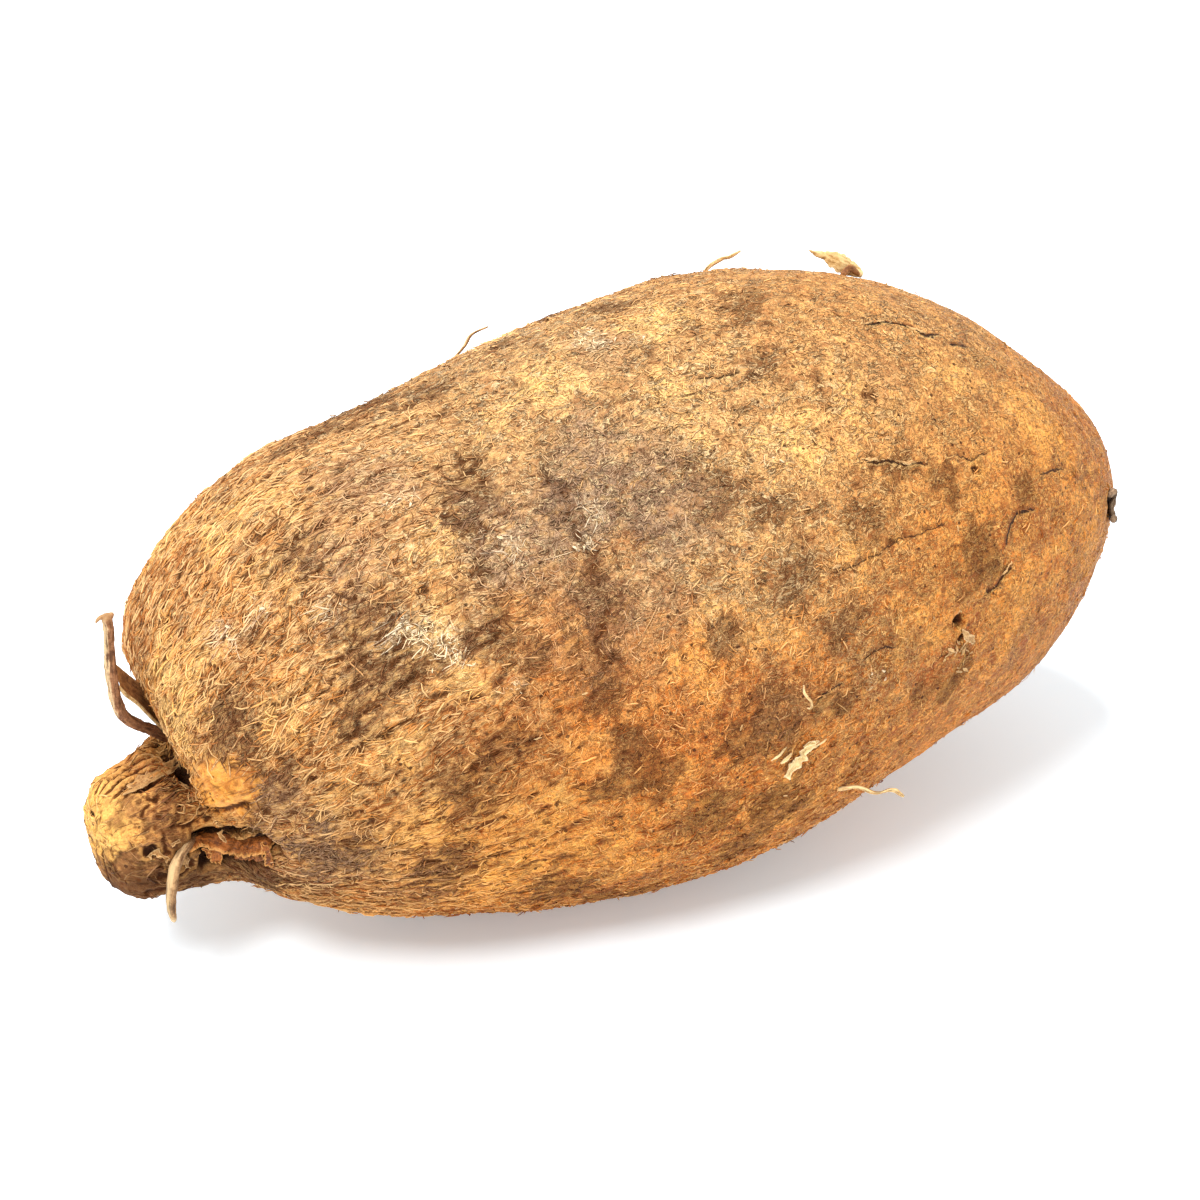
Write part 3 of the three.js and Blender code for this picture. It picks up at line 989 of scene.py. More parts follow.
crown_bark = [
    (-102, 0, -8.5, 6, 1), (-99.6, -1, -9, 5, 1), (-105, 3, -9, 5, 0.7),
    (-99, -6, -9.5, 5, 0.9), (-97, -13.5, -24.5, 5, 0.9), (-94.5, -20, -21.5, 5, 0.9),
    (-93, -25, -20, 4, 0.9), (-104, -9, -11, 5, 0.5),
]
print("patches of mud:", len(crown_mud))

# %% [markdown]
# The lists become numbers for each vertex. Noise moves the vertices a little before they are
# measured, which makes every patch ragged. A mesh keeps such numbers as attributes, and a
# material reads them by name.

# %% Store the patches on the vertices
RAGGED_GRAIN = 6.5
PATCH_CORE = 0.35  # a patch is whole out to this share of its size, and gone at the next
PATCH_EDGE = 1.25
ragged = np.column_stack([
    layered(seed, base / RAGGED_GRAIN, 3, 0.6) for seed in (111, 121, 131)
])


def patchwork(listing, raggedness=0.7):
    """The strength at each vertex of a list of ragged patches."""
    total = np.zeros(len(base))
    for *place, size, strength in listing:
        spot = on_skin(*place) if len(place) == 2 else np.array(place)
        distance = away(base + ragged * size * raggedness, spot)
        share = 1 - rise(distance, PATCH_CORE * size, PATCH_EDGE * size)
        total = np.maximum(total, strength * share)
    return total


body_soil = np.minimum(1.25 * patchwork(soil_patches), 1) * (1 - on_crown)
soil = np.maximum(body_soil, patchwork(crown_soil))
dust = patchwork(dust_patches, 0.35) * (1 - 0.7 * on_crown)
pale = np.maximum(patchwork(pale_patches), patchwork(crown_pale))
papery = 0.8 * patchwork(papery_patches, 0.9)
mud = patchwork(crown_mud, 0.6)
bridge = patchwork(crown_bridge, 0.3)
warm = rise(-base[:, 2], -28, 20) * (1 - 0.5 * rise(-base[:, 0], 50, 90))
warm = np.maximum(warm, 0.9 * rise(base[:, 0], -10, 50)) * (1 - 0.5 * rise(base[:, 2], 20, 52))
amber = patchwork(amber_patches, 0.4)
# Painted light: the higher the skin lies, the paler it is made, less so towards the crown.
painted_light = rise(base[:, 2], 8, 50) * (1 - 0.68 * rise(-base[:, 0], 45, 85))
scar_distance, _ = nearness(base, skin_path((37, 92), (40, 91), (44, 90), (46.4, 88), (46, 83.5)))
crack_distance, _ = nearness(base, skin_path((-30, 134), (-25, 132), (-19, 130)))
reddish = np.maximum(bell(scar_distance, 4.2), bell(crack_distance, 2))
reddish = np.maximum(reddish, mouth)
reddish = np.maximum(reddish, patchwork(crown_bark, 0.3))

skin_values = dict(
    fibrous=fibrous, crown=on_crown, crown_end=crown_end, soil=soil, dust=dust, pale=pale,
    papery=papery, mud=mud, bridge=bridge, painted_light=painted_light, amber=amber, fold=fold, warm=warm,
    reddish=reddish, hollow=hollow, mark_shade=mark_shade, crack=crack, crack_open=crack_open,
    crack_lip=crack_lip,
)


def store(mesh, values, grain_places):
    """Keeps the values on the mesh's vertices, for its finish to read."""
    for name, numbers in values.items():
        kept = mesh.attributes.new(name, "FLOAT", "POINT")
        kept.data.foreach_set("value", numbers.astype(np.float32))
    kept = mesh.attributes.new("grain", "FLOAT_VECTOR", "POINT")
    kept.data.foreach_set("vector", (grain_places * MM).astype(np.float32).ravel())


store(skin_mesh, skin_values, grain)
print("numbers kept for each vertex:", len(skin_values))

# %% [markdown]
# The finish is built in layers, as a painter would: a straw to tan ground, painted light on the
# top, a warm glaze on the belly, ragged soil, grey dust, the grain of the fibres with a painted lit
# side and shade side, fine curled hairs, dark pores, and last painted shade in the hollows, creases
# and cracks. The same function serves the skin and the loose fibres, so that a fibre takes the
# colour of the place that it grows from.

# %% Mix the ground colours
def warmed(finish, colour):
    """Deepens a colour towards orange where the skin is warm."""
    tint = finish.mix(finish["warm"], rgb(1, 0.985, 0.92), rgb(1.2, 0.885, 0.45))
    glow = finish.mix(finish["amber"], rgb(1, 1, 1), rgb(1.03, 0.82, 0.62))
    return finish.times(finish.times(colour, tint), glow)


def ground_layers(finish):
    """The colours under the fibres, and the patterns that later layers read again."""
    where = finish.place()
    soil_share = finish["soil"]
    broad = finish.noise(where, 15, 3)
    mottle = finish.noise(where, 3.6, 6, 0.7)
    fleck = finish.noise(where, 0.7, 3, 0.7)

    tone = broad * 0.4 + mottle * 0.9 - 0.15 + finish["pale"] * 0.12 - soil_share * 0.05
    tone = tone + (fleck - 0.5) * 0.34
    light = tone.between(0.41, 0.59)
    ground = finish.mix(light, rgb(0.235, 0.069, 0.012), rgb(0.602, 0.241, 0.05))
    glaze = finish.mix(light, rgb(0.221, 0.054, 0.006), rgb(0.555, 0.178, 0.026))
    ground = ground.coat(finish["warm"] * 0.75, glaze)
    # Painted light on the top of the yam, paler where the ground is light.
    top_light = finish["painted_light"] * (0.26 + 0.34 * light)
    ground = ground.coat(top_light, rgb(0.779, 0.493, 0.235))
    ground = ground.coat(tone.between(0.57, 0.78), rgb(0.771, 0.422, 0.131))

    # Soil, grime and crumbs of it.
    ragged_soil = soil_share * 1.3 + (mottle - 0.5) * 2.1 + (fleck - 0.5) * 1.5
    soil_mask = ragged_soil.between(0.18, 0.58) * 0.92
    grime = finish.noise(where, 5.5, 6, 0.72, 0.6)
    grime_mask = (grime + (fleck - 0.5) * 0.5 - finish["pale"] * 0.1).between(0.505, 0.6)
    ground = ground.coat(grime_mask * 0.7, rgb(0.205, 0.085, 0.032))
    crumb = finish.noise(where, 2.6, 4, 0.7, 0.5)
    ground = ground.coat((1 - crumb.between(0.37, 0.46)) * 0.62, rgb(0.17, 0.062, 0.02))
    ground = ground.coat(crumb.between(0.55, 0.64) * 0.44, rgb(0.84, 0.5, 0.185))
    ground = ground.coat(finish["fibrous"] * 0.3, rgb(0.4, 0.15, 0.042))
    clean = finish["pale"] * (1 - grime_mask) * mottle.between(0.38, 0.5) * 0.75
    ground = ground.coat(clean, rgb(0.855, 0.52, 0.178))
    crumbly = fleck.between(0.4, 0.6)
    earth = finish.mix(crumbly, rgb(0.085, 0.03, 0.011), rgb(0.205, 0.088, 0.034))
    colour = ground.coat(soil_mask, earth)
    # Painted shade and soil in the two folds across the middle.
    fold_shade_and_soil = finish["fold"] + (mottle - 0.5) * 1.4 + (fleck - 0.5) * 0.9
    fold_shade_and_soil = fold_shade_and_soil.between(0.15, 0.95) * finish["fold"]
    colour = colour.coat(fold_shade_and_soil * 0.85, rgb(0.114, 0.042, 0.013))
    # Grey dust, and the cream of the fibres that stand out of it.
    drift = finish.noise(where, 7.5, 4, 0.65, 0.9).between(0.3, 0.45)
    haze = finish["dust"] * (fleck * 0.4 + mottle * 0.6).between(0.33, 0.52) * drift
    grainy = fleck.between(0.38, 0.62)
    grey = finish.mix(grainy, rgb(0.125, 0.07, 0.043), rgb(0.31, 0.185, 0.115))
    colour = colour.coat(haze, grey)
    cream = finish.mix(haze, rgb(0.85, 0.56, 0.265), rgb(0.62, 0.425, 0.27))
    # The torn places, the stub of the crown and the damp mud round it.
    torn = finish["reddish"] * mottle.between(0.32, 0.58) * 0.85
    colour = colour.coat(torn, rgb(0.32, 0.072, 0.016))
    stub = finish["crown"] * finish.noise(where, 3, 4, 0.65, 1.2).between(0.42, 0.54) * 0.8
    colour = colour.coat(stub, rgb(0.18, 0.065, 0.018))
    smooth = finish["bridge"] * 0.85
    patchy = mottle.between(0.42, 0.58)
    golden = finish.mix(patchy, rgb(0.43, 0.15, 0.024), rgb(0.74, 0.335, 0.062))
    colour = colour.coat(smooth, golden)
    straw = finish["crown_end"] * fleck.between(0.25, 0.65) * 0.75
    colour = colour.coat(straw, rgb(0.88, 0.58, 0.19))
    damp = (soil_mask + soil_share.between(0.15, 0.75)) * 0.5 * finish["crown"] * (1 - smooth)
    loam = finish.mix(patchy, rgb(0.06, 0.024, 0.011), rgb(0.22, 0.1, 0.048))
    colour = colour.coat(damp * 0.95, loam)
    muddy = finish["mud"] * (0.45 + 0.55 * soil_mask) * (1 - smooth)
    patchy = mottle.between(0.4, 0.6)
    loam = finish.mix(patchy, rgb(0.036, 0.014, 0.006), rgb(0.14, 0.058, 0.025))
    colour = colour.coat(muddy * 0.95, loam)
    scraps = finish["papery"] * (fleck * 0.7 + mottle * 0.3).between(0.44, 0.56)
    colour = colour.coat(scraps * 0.85, rgb(0.88, 0.74, 0.5))
    return colour, soil_mask, mottle, fleck, where, cream


# %% [markdown]
# Over the ground lie the fine things. A noise passes through a level along thin, winding lines,
# so a narrow band round it draws fibres, hairs and chips by the thousand. Two bands side by side
# paint a lit side and a shade side on each.

# %% Mix the fine layers of the skin
def line(value, level, width):
    """A thin line wherever a noise passes through one level."""
    return (1 - (value - level).size() / width).clamped()


def dots(finish, where, spacing, radius, rarity):
    """Small round marks scattered one to a cell, with a share of the cells left empty."""
    cells = finish.add("ShaderNodeTexVoronoi", None, {"Vector": where, "Scale": 1 / (spacing * MM)})
    lot = finish.add("ShaderNodeSeparateColor", None, {0: finish.other(cells, "Color")})
    return (1 - cells.between(radius, radius + 0.09)) * lot.between(rarity, rarity + 0.05)


def skin_layers(finish):
    """The skin's colour, its fine relief in mm and its roughness."""
    colour, soil_mask, mottle, fleck, where, cream = ground_layers(finish)
    lie = finish.attribute("grain", "Vector")
    fibre_share = finish["fibrous"]
    plain = (1 - finish["bridge"] * 0.8) * (1 - finish["crown_end"] * 0.6)
    calm_share = 1 - fibre_share
    on_stub = finish["crown"]
    streak = finish.noise(finish.times(lie, (1, 1, 0.12)), 1.7, 4, 0.65, 0.5)
    weave = finish.noise(finish.times(lie, (1, 1, 0.19)), 1.25, 2, 0.55, 0.9)
    thread = finish.noise(finish.times(lie, (1, 1, 0.24)), 0.7, 2, 0.55, 0.9)

    # The fibre lines: painted shade in furrows and beside each cream thread, painted light on it.
    furrow_shade = (1 - streak.between(0.38, 0.5)) * fibre_share
    colour = colour.coat(furrow_shade * 0.65, rgb(0.123, 0.039, 0.008))
    shade_line = line(weave, 0.565, 0.035) * (0.22 + 0.78 * fibre_share) * plain
    colour = colour.coat(shade_line * 0.88, rgb(0.075, 0.021, 0.004))
    lit_line = line(weave, 0.5, 0.04) * (0.3 + 0.7 * fibre_share) * plain
    cover = 1 - soil_mask * 0.55
    colour = colour.coat(lit_line * cover * 0.72, cream)
    fine_shade = line(thread, 0.58, 0.05) * (0.22 + 0.63 * fibre_share) * plain
    colour = colour.coat(fine_shade * 0.7, rgb(0.104, 0.031, 0.006))
    fine_lit = line(thread, 0.5, 0.045) * (0.25 + 0.5 * fibre_share) * plain
    colour = colour.coat(fine_lit * cover * 0.55, cream)

    # Fine curled hairs where the skin is calm: painted lit cream lines with painted shade beside.
    curl = finish.noise(where, 1.6, 2, 0.6, 2)
    hairy = (calm_share * 0.75 + 0.25) * mottle.between(0.3, 0.5) * plain * (1 - on_stub * 0.55)
    hair = line(curl, 0.5, 0.045) * hairy
    colour = colour.coat(hair * cover * 0.88, cream)
    hair_shade = line(curl, 0.565, 0.05) * hairy
    colour = colour.coat(hair_shade * 0.8, rgb(0.104, 0.033, 0.008))

    speck = finish.noise(where, 0.34, 2, 0.6)
    colour = colour.coat((1 - speck.between(0.3, 0.43)) * 0.3, rgb(0.123, 0.037, 0.008))
    colour = colour.coat(speck.between(0.59, 0.72) * 0.24, rgb(0.808, 0.459, 0.165))

    # Round pores, and pits that are drawn out along the fibres.
    drawn = finish.times(lie, (1, 1, 0.45))
    pore = dots(finish, where, 2, 0.13, 0.42) * finish.noise(where, 9, 2).between(0.34, 0.5)
    pit = dots(finish, drawn, 2, 0.17, 0.4) * fibre_share.between(0.35, 0.8) * plain
    pit = pit * finish.noise(where, 5, 3, 0.6).between(0.42, 0.56)
    colour = colour.coat(pore * 0.88, rgb(0.043, 0.012, 0.003))
    colour = colour.coat(pit * 0.85, rgb(0.04, 0.012, 0.004))

    # Small chips, more on the upper skin: a painted shadow line with a painted lit lip beside it.
    plate = finish.noise(finish.times(where, (0.6, 1, 1.3)), 2.8, 3, 0.6, 1.2)
    chipped = finish.noise(where, 5, 3, 0.6).between(0.42, 0.52) * plain * (1 - on_stub)
    chipped = chipped * (0.35 + 0.65 * finish["painted_light"])
    chip_shadow = line(plate, 0.48, 0.03) * chipped
    colour = colour.coat(chip_shadow * 0.85, rgb(0.06, 0.019, 0.005))
    chip_lit_lip = line(plate, 0.52, 0.036) * chipped
    colour = colour.coat(chip_lit_lip * 0.85, rgb(0.86, 0.62, 0.35))

    # The fine cracks laid out above: painted shade in each and on one side, and a pale lip.
    wobble = (finish.noise(where, 2.6, 3, 0.6) - 0.5) * 2.2 + (fleck - 0.5) * 0.8
    offset = finish["crack"] + wobble
    open_share = finish["crack_open"]
    open_share = open_share * (mottle + open_share * 0.14).between(0.3, 0.46)
    crack_shade = line(offset, -0.55, 0.8) * open_share
    colour = colour.coat(crack_shade * 0.5, rgb(0.15, 0.05, 0.013))
    slit_line = line(offset, 0, finish["crack_open"] * 0.2 + 0.14) * open_share
    colour = colour.coat(slit_line.between(0, 0.6) * 0.92, rgb(0.03, 0.009, 0.003))
    lip = line(offset, 0.42, 0.3) * finish["crack_lip"] * fleck.between(0.36, 0.52)
    colour = colour.coat(lip * 0.95, rgb(0.86, 0.64, 0.33))

    # Last the mud, painted shade in the hollows, paler ridges and painted shade in the marks.
    muddy = finish["mud"] * (1 - finish["bridge"]) * (0.3 + 0.7 * soil_mask)
    colour = colour.coat(muddy * 0.7, rgb(0.075, 0.03, 0.013))
    hollows = finish["hollow"]
    shadow = hollows.between(0.02, 0.95)
    colour = colour.coat(shadow * 0.9, rgb(0.08, 0.024, 0.004))
    proud = (0.0 - hollows).between(0.05, 0.9)
    colour = colour.coat(proud * (1 - muddy) * 0.32, rgb(0.79, 0.451, 0.165))
    # Painted shade in the creases, cracks and holes of the marks.
    shaded = (finish["mark_shade"] + (fleck - 0.5) * 0.5 * finish["mark_shade"]).between(0.1, 0.95)
    colour = colour.coat(shaded * 0.92, rgb(0.021, 0.007, 0.003))

    colour = warmed(finish, colour)
    relief = streak * fibre_share * 0.5 + (lit_line - shade_line) * 0.1
    relief = relief + (fine_lit - fine_shade) * 0.06 + mottle * 0.6 * plain + fleck * 0.36 * plain
    relief = relief + (hair - hair_shade) * 0.13 - pore * 0.25 - pit * 0.5
    relief = relief - slit_line * 0.4 + lip * 0.25 + (chip_lit_lip - chip_shadow) * 0.25
    rough = 0.62 + soil_mask * 0.25
    return colour, relief, rough


# %% [markdown]
# Every piece ends in the same way: it gets its finish and smooth faces, rides on the one body
# of the CAD model, and hides the CAD nodes that it is drawn over.

# %% Finish the skin
def finished_piece(name, mesh, material, slot, *nodes):
    """Gives a mesh its finish, smooth faces and its place in the model."""
    mesh.materials.clear()
    mesh.materials.append(material)
    mesh.polygons.foreach_set("use_smooth", np.ones(len(mesh.polygons), bool))
    piece = shown(name, mesh)
    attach(piece, "root")
    if nodes:
        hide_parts(*nodes)
    print(name, triangle_count(mesh), "triangles")


skin_finish = Finish("yam_skin", specular=0.12)
colour, relief, rough = skin_layers(skin_finish)
skin_material = skin_finish.surface(colour, rough, skin_finish.bump(relief))
finished_piece("skin", skin_mesh, skin_material, "skin", "tuber")
print("skin finish:", len(skin_finish.tree.nodes), "nodes")

# %% [markdown]
# A yam's skin is shaggy. Fibres lie along it everywhere: long and combed towards the crown at
# that end, short and curled over the middle, and little more than down near the tail. Hair
# curves could draw them, but here they are solid. One fibre is modelled as a thin three-sided
# sliver, pointed at both ends, and its copies are bent to follow the skin. Thousands of
# copies stay light because each has only a dozen faces.

# %% Model one fibre
def fibre_shape(sections):
    """A three-sided sliver along z from 0 to 1, pointed at both ends."""
    bm = bmesh.new()
    bmesh.ops.create_cone(bm, cap_ends=False, segments=3, radius1=1, radius2=1, depth=1)
    bmesh.ops.translate(bm, verts=bm.verts, vec=(0, 0, 0.5))
    for cut in range(1, sections + 1):
        everything = bm.verts[:] + bm.edges[:] + bm.faces[:]
        level = (0, 0, cut / (sections + 1))
        bmesh.ops.bisect_plane(bm, geom=everything, plane_co=level, plane_no=(0, 0, 1))
    for level in (0, 1):
        rim = [corner for corner in bm.verts if abs(corner.co.z - level) < 1e-5]
        bmesh.ops.pointmerge(bm, verts=rim, merge_co=(0, 0, level))
    bmesh.ops.recalc_face_normals(bm, faces=bm.faces)
    return as_mesh(bm, "fibre_shape")


def fibre_map(shape):
    """Where each corner of the sliver's faces lies when it is unrolled flat, from 0 to 1."""
    third = 2 * math.pi / 3
    flat = np.empty((len(shape.loops), 2))
    for face in shape.polygons:
        facing = math.atan2(face.center.y, face.center.x)
        side = int(((facing + math.pi / 6) % (2 * math.pi)) / third)
        for loop in face.loop_indices:
            corner = shape.vertices[shape.loops[loop].vertex_index].co
            across = 0.5
            if math.hypot(corner.x, corner.y) > 0.01:
                turn = math.atan2(corner.y, corner.x) - facing
                across = 0.5 + 0.5 * math.copysign(1, math.sin(turn))
            flat[loop] = corner.z, (side + across) / 3
    return flat


fibre = fibre_shape(3)
hairlet = fibre_shape(2)
strand = fibre_shape(6)
print("faces in one fibre:", len(fibre.polygons), "and in one hair:", len(hairlet.polygons))

# %% [markdown]
# Fibres are laid by lot: the larger and hairier a face of the skin is, the more of them start
# there. So the faces are read first, and a tree is made that finds the nearest skin.

# %% Read the faces of the skin
JITTER = 0.4  # how far a fibre may start from the middle of its face, mm
FIBRE_SLACK = 0.3  # how far a fibre may stand out of the skin's box, mm
FIBRE_SUNK = 0.12  # how deep each end of a fibre lies in the skin, mm
CELL_MARGIN = 0.12  # the empty border of a fibre's cell in the unrolled map

face_count = len(skin_mesh.polygons)
face_area = read(skin_mesh.polygons, "area", face_count)
face_middle = read(skin_mesh.polygons, "center", face_count * 3)
face_middle = (face_middle.reshape(-1, 3) - np.array(HEART)) / MM
face_start = read(skin_mesh.polygons, "loop_start", face_count, np.int32)
face_vertex = read(skin_mesh.loops, "vertex_index", len(skin_mesh.loops), np.int32)[face_start]
sculpted_tree = BVHTree.FromPolygons(
    [Vector(point) for point in sculpted], [list(face.vertices) for face in skin_mesh.polygons]
)


def snapped(points):
    """The nearest places on the sculpted skin, and the way out of it there."""
    found = [sculpted_tree.find_nearest(Vector(point)) for point in points]
    return np.array([hit[0] for hit in found]), np.array([hit[1] for hit in found])


def unit(vectors):
    return vectors / np.maximum(np.linalg.norm(vectors, axis=1, keepdims=True), 1e-9)


def towards_crown(points, outs, crown_share):
    """The way that the fibres are combed, at each point, flat on the skin."""
    to_foot = unit(CROWN_FOOT + 4 * CROWN_AIM - points)
    wanted = np.where(crown_share[:, None] > 0.5, CROWN_AIM, to_foot)
    return unit(wanted - outs * (wanted * outs).sum(1, keepdims=True))


print("faces of the skin:", face_count)

# %% [markdown]
# A sliver is walked over the skin in short steps: it turns a little, comes back to the surface
# and rises in a low arch. All copies step together, as arrays, because a loop would be slow.

# %% Bend the slivers over the skin
def lay_fibres(name, shape, count, weight, length, width, spread, curl, lift, loose, tones, seed):
    """Scatters bent copies of one sliver over the skin, as one mesh."""
    draw = np.random.default_rng(seed)
    share = face_area * np.maximum(weight[face_vertex], 0)
    chosen = draw.choice(face_count, count, p=share / share.sum())
    start = face_middle[chosen] + draw.uniform(-JITTER, JITTER, (count, 3))
    spot, out = snapped(start)
    crown_share = on_crown[face_vertex[chosen]]
    way = towards_crown(spot, out, crown_share)

    def turned(ways, outs, angles):
        across = np.cross(outs, ways)
        return ways * np.cos(angles)[:, None] + across * np.sin(angles)[:, None]

    way = turned(way, out, draw.normal(0, spread, count))
    long = draw.uniform(*length, count)
    thick = draw.uniform(*width, count)
    bend = draw.normal(0, curl, count)
    levels = sorted({round(corner.co.z, 4) for corner in shape.vertices})
    high = draw.uniform(*lift, count)
    tip = np.where(draw.random(count) < loose, draw.uniform(0.4, 1.3, count), 0)
    spine = []
    for step, level in enumerate(levels):
        if step:
            way = turned(way, out, bend * draw.uniform(-0.6, 1.6, count))
            spot, out = snapped(spot + way * (long / (len(levels) - 1))[:, None])
            way = unit(way - out * (way * out).sum(1, keepdims=True))
        arch = high * math.sin(math.pi * min(level + FIBRE_SUNK, 1))
        raised = -FIBRE_SUNK + arch + tip * level**2
        spine.append((spot + out * raised[:, None], np.cross(out, way), out))

    corners = np.array([corner.co for corner in shape.vertices])
    made = np.empty((count, len(corners), 3))
    for index, (across, up, level) in enumerate(corners):
        centre, side, outs = spine[levels.index(round(float(level), 4))]
        made[:, index] = (
            centre + side * (across * thick)[:, None] + outs * (up * thick * 0.8)[:, None]
        )
    made[:, :, 2] = np.maximum(made[:, :, 2], -FOOT_DEPTH + 0.02)
    made = np.clip(made, box_low - FIBRE_SLACK, box_high + FIBRE_SLACK)

    mesh = bpy.data.meshes.new(name)
    loops = np.array([loop.vertex_index for loop in shape.loops])
    starts = np.array([face.loop_start for face in shape.polygons])
    copies = np.arange(count)[:, None]
    mesh.vertices.add(count * len(corners))
    mesh.loops.add(count * len(loops))
    mesh.polygons.add(count * len(starts))
    solid = (made * MM + np.array(HEART)).astype(np.float32)
    mesh.vertices.foreach_set("co", solid.ravel())
    mesh.loops.foreach_set("vertex_index", (loops + copies * len(corners)).astype(np.int32).ravel())
    mesh.polygons.foreach_set("loop_start", (starts + copies * len(loops)).astype(np.int32).ravel())
    mesh.update(calc_edges=True)

    cells = math.ceil(math.sqrt(count))
    corner_cell = np.stack([copies % cells, copies // cells], axis=-1)
    inside = CELL_MARGIN + (1 - 2 * CELL_MARGIN) * fibre_map(shape)
    unrolled = (corner_cell + inside) / cells
    mesh.uv_layers.new(name="OFBake").data.foreach_set("uv", unrolled.astype(np.float32).ravel())

    own = face_vertex[chosen]
    kept = {key: np.repeat(skin_values[key][own], len(corners)) for key in skin_values}
    kept["tone"] = np.repeat(draw.uniform(*tones, count), len(corners))
    store(mesh, kept, np.repeat(grain[own], len(corners), axis=0))
    return mesh


# %% [markdown]
# A real coat is never of one kind, so nine layouts differ in length, thickness, curl and tone.

# %% Lay nine kinds of fibre
def fibre_finish():
    """The skin's own ground colour, from umber to straw by each fibre's tone."""
    finish = Finish("skin_fibre", specular=0.12)
    colour, soil_mask, mottle, fleck, _, cream = ground_layers(finish)
    tone = finish["tone"]
    # Painted shade where a fibre lies in a hollow of the skin.
    hollows = finish["hollow"]
    colour = colour.coat(hollows.between(0.1, 1) * 0.45, rgb(0.08, 0.025, 0.006))
    colour = colour.coat((1 - tone.between(0.1, 0.42)) * 0.8, rgb(0.08, 0.024, 0.005))
    straw = tone.between(0.5, 0.95) * (1 - soil_mask * 0.85) * 0.6
    colour = colour.coat(straw, cream)
    white = finish["papery"] * tone.between(0.2, 0.5) * 0.8
    colour = colour.coat(white, rgb(0.84, 0.72, 0.52))
    colour = warmed(finish, colour).coat(0.4, colour)
    return finish.surface(colour, 0.6, finish.bump(fleck * 0.12, strength=0.5))


fibre_material = fibre_finish()
bare = rise(np.maximum(mark_shade, bridge), 0.15, 0.5)
shoulder_zone = rise(-base[:, 0], 28, 72) * (1 - 0.75 * on_crown) * (1 - bare)
foot_zone = rise(-base[:, 0], 70, 92) * (1 - 0.85 * on_crown) * (1 - bare)
middle_zone = (rise(base[:, 0], -85, -45) * (1 - rise(base[:, 0], 5, 45)) + 0.1) * (1 - on_crown)
tail_zone = rise(base[:, 0], -10, 35)
crevice = path((-95, 6, -7), (-95.6, 0, -5.5), (-96.2, -6, -6), (-98, -11, -8))
crevice_distance, _ = nearness(base, crevice)
tuft_zone = bell(crevice_distance, 3.5) * (1 - rise(mark_shade, 0.3, 0.8))
# Each layout: name, sliver, how many, where, lengths, widths, spread of their lie, curl, how high
# they arch, the share with a loose tip, tones and seed.
fibre_layouts = [
    ("collar_tufts", fibre, 700, tuft_zone, (2, 5), (0.12, 0.26),
     0.5, 0.5, (0.25, 0.7), 0.3, (0.3, 1), 208),
    ("combed_fibres", fibre, 9400, shoulder_zone, (2.4, 6.5), (0.08, 0.18),
     0.22, 0.3, (0.1, 0.24), 0.01, (0, 1), 201),
    ("bold_fibres", fibre, 2600, foot_zone + 0.25 * shoulder_zone, (2.4, 6.5), (0.13, 0.26),
     0.25, 0.4, (0.24, 0.5), 0.03, (0.35, 1), 207),
    ("foot_fibres", fibre, 4200, foot_zone, (2.2, 5.5), (0.08, 0.17),
     0.22, 0.3, (0.12, 0.26), 0.04, (0, 1), 202),
    ("curled_hairs", fibre, 10800, middle_zone, (1.4, 4), (0.08, 0.2),
     1.2, 1.05, (0.14, 0.42), 0.05, (0.2, 1), 203),
    ("scrap_hairs", fibre, 2000, papery + 0.02, (0.8, 2.2), (0.07, 0.15),
     1.5, 0.95, (0.12, 0.36), 0.1, (0, 1), 205),
    ("pale_curls", hairlet, 4000, dust + 0.12 * middle_zone, (1.2, 3.2), (0.09, 0.17),
     1.5, 1.3, (0.22, 0.55), 0.06, (0.6, 1), 209),
    ("long_strands", strand, 260, middle_zone + 0.3, (3.5, 8), (0.07, 0.12),
     0.9, 0.35, (0.2, 0.5), 0.08, (0.3, 1), 206),
    ("tail_down", hairlet, 10800, tail_zone, (0.8, 2.4), (0.05, 0.11),
     1.3, 0.5, (0.08, 0.18), 0.03, (0.15, 1), 204),
]
for name, *layout in fibre_layouts:
    finished_piece(name, lay_fibres(name, *layout), fibre_material, "dried_root")
print("fibres:", sum(layout[2] for layout in fibre_layouts))

# %% [markdown]
# A dried root is a bent, tapering rod with wrinkles along it. A curve with a bevel would give a
# smooth pipe. Here one ring of corners is extruded along a smooth path, ring after ring, which
# keeps the taper and the ends under control. Then the wrinkles are pressed in along it.

# %% Draw a root along a path
class Spine:
    """A smooth path with a frame at each place, carried along it without twisting."""

    def __init__(self, stops, count):
        self.points = smooth_path(stops, count)
        steps = [Vector(step).normalized() for step in np.gradient(self.points, axis=0)]
        turn = Vector((0, 0, 1)).rotation_difference(steps[0])
        self.turns = [turn]
        for before, after in zip(steps, steps[1:]):
            turn = before.rotation_difference(after) @ turn
            self.turns.append(turn)
        gaps = np.linalg.norm(np.diff(self.points, axis=0), axis=1)
        self.reach = np.concatenate([[0], np.cumsum(gaps)])

    def ring_place(self, index, radius):
        """The matrix that carries a ring of radius 1 to its place on the path."""
        grown = Matrix.Scale(radius * MM, 4)
        turn = self.turns[index].to_matrix().to_4x4()
        return Matrix.Translation(at(*self.points[index])) @ turn @ grown

    def lie(self, points, radius):
        """Each point's place on the root: its side as two numbers, and how far along it is."""
        gaps = np.linalg.norm(points[:, None] - self.points[None], axis=2)
        nearest = gaps.argmin(1)
        sides = np.array([
            self.turns[index].inverted() @ Vector(point - self.points[index])
            for point, index in zip(points, nearest)
        ])[:, :2]
        return np.column_stack([unit(sides) * radius, self.reach[nearest]])


CUT_RINGS = (0.8, 0.45)  # how wide the rings are that close a cut end


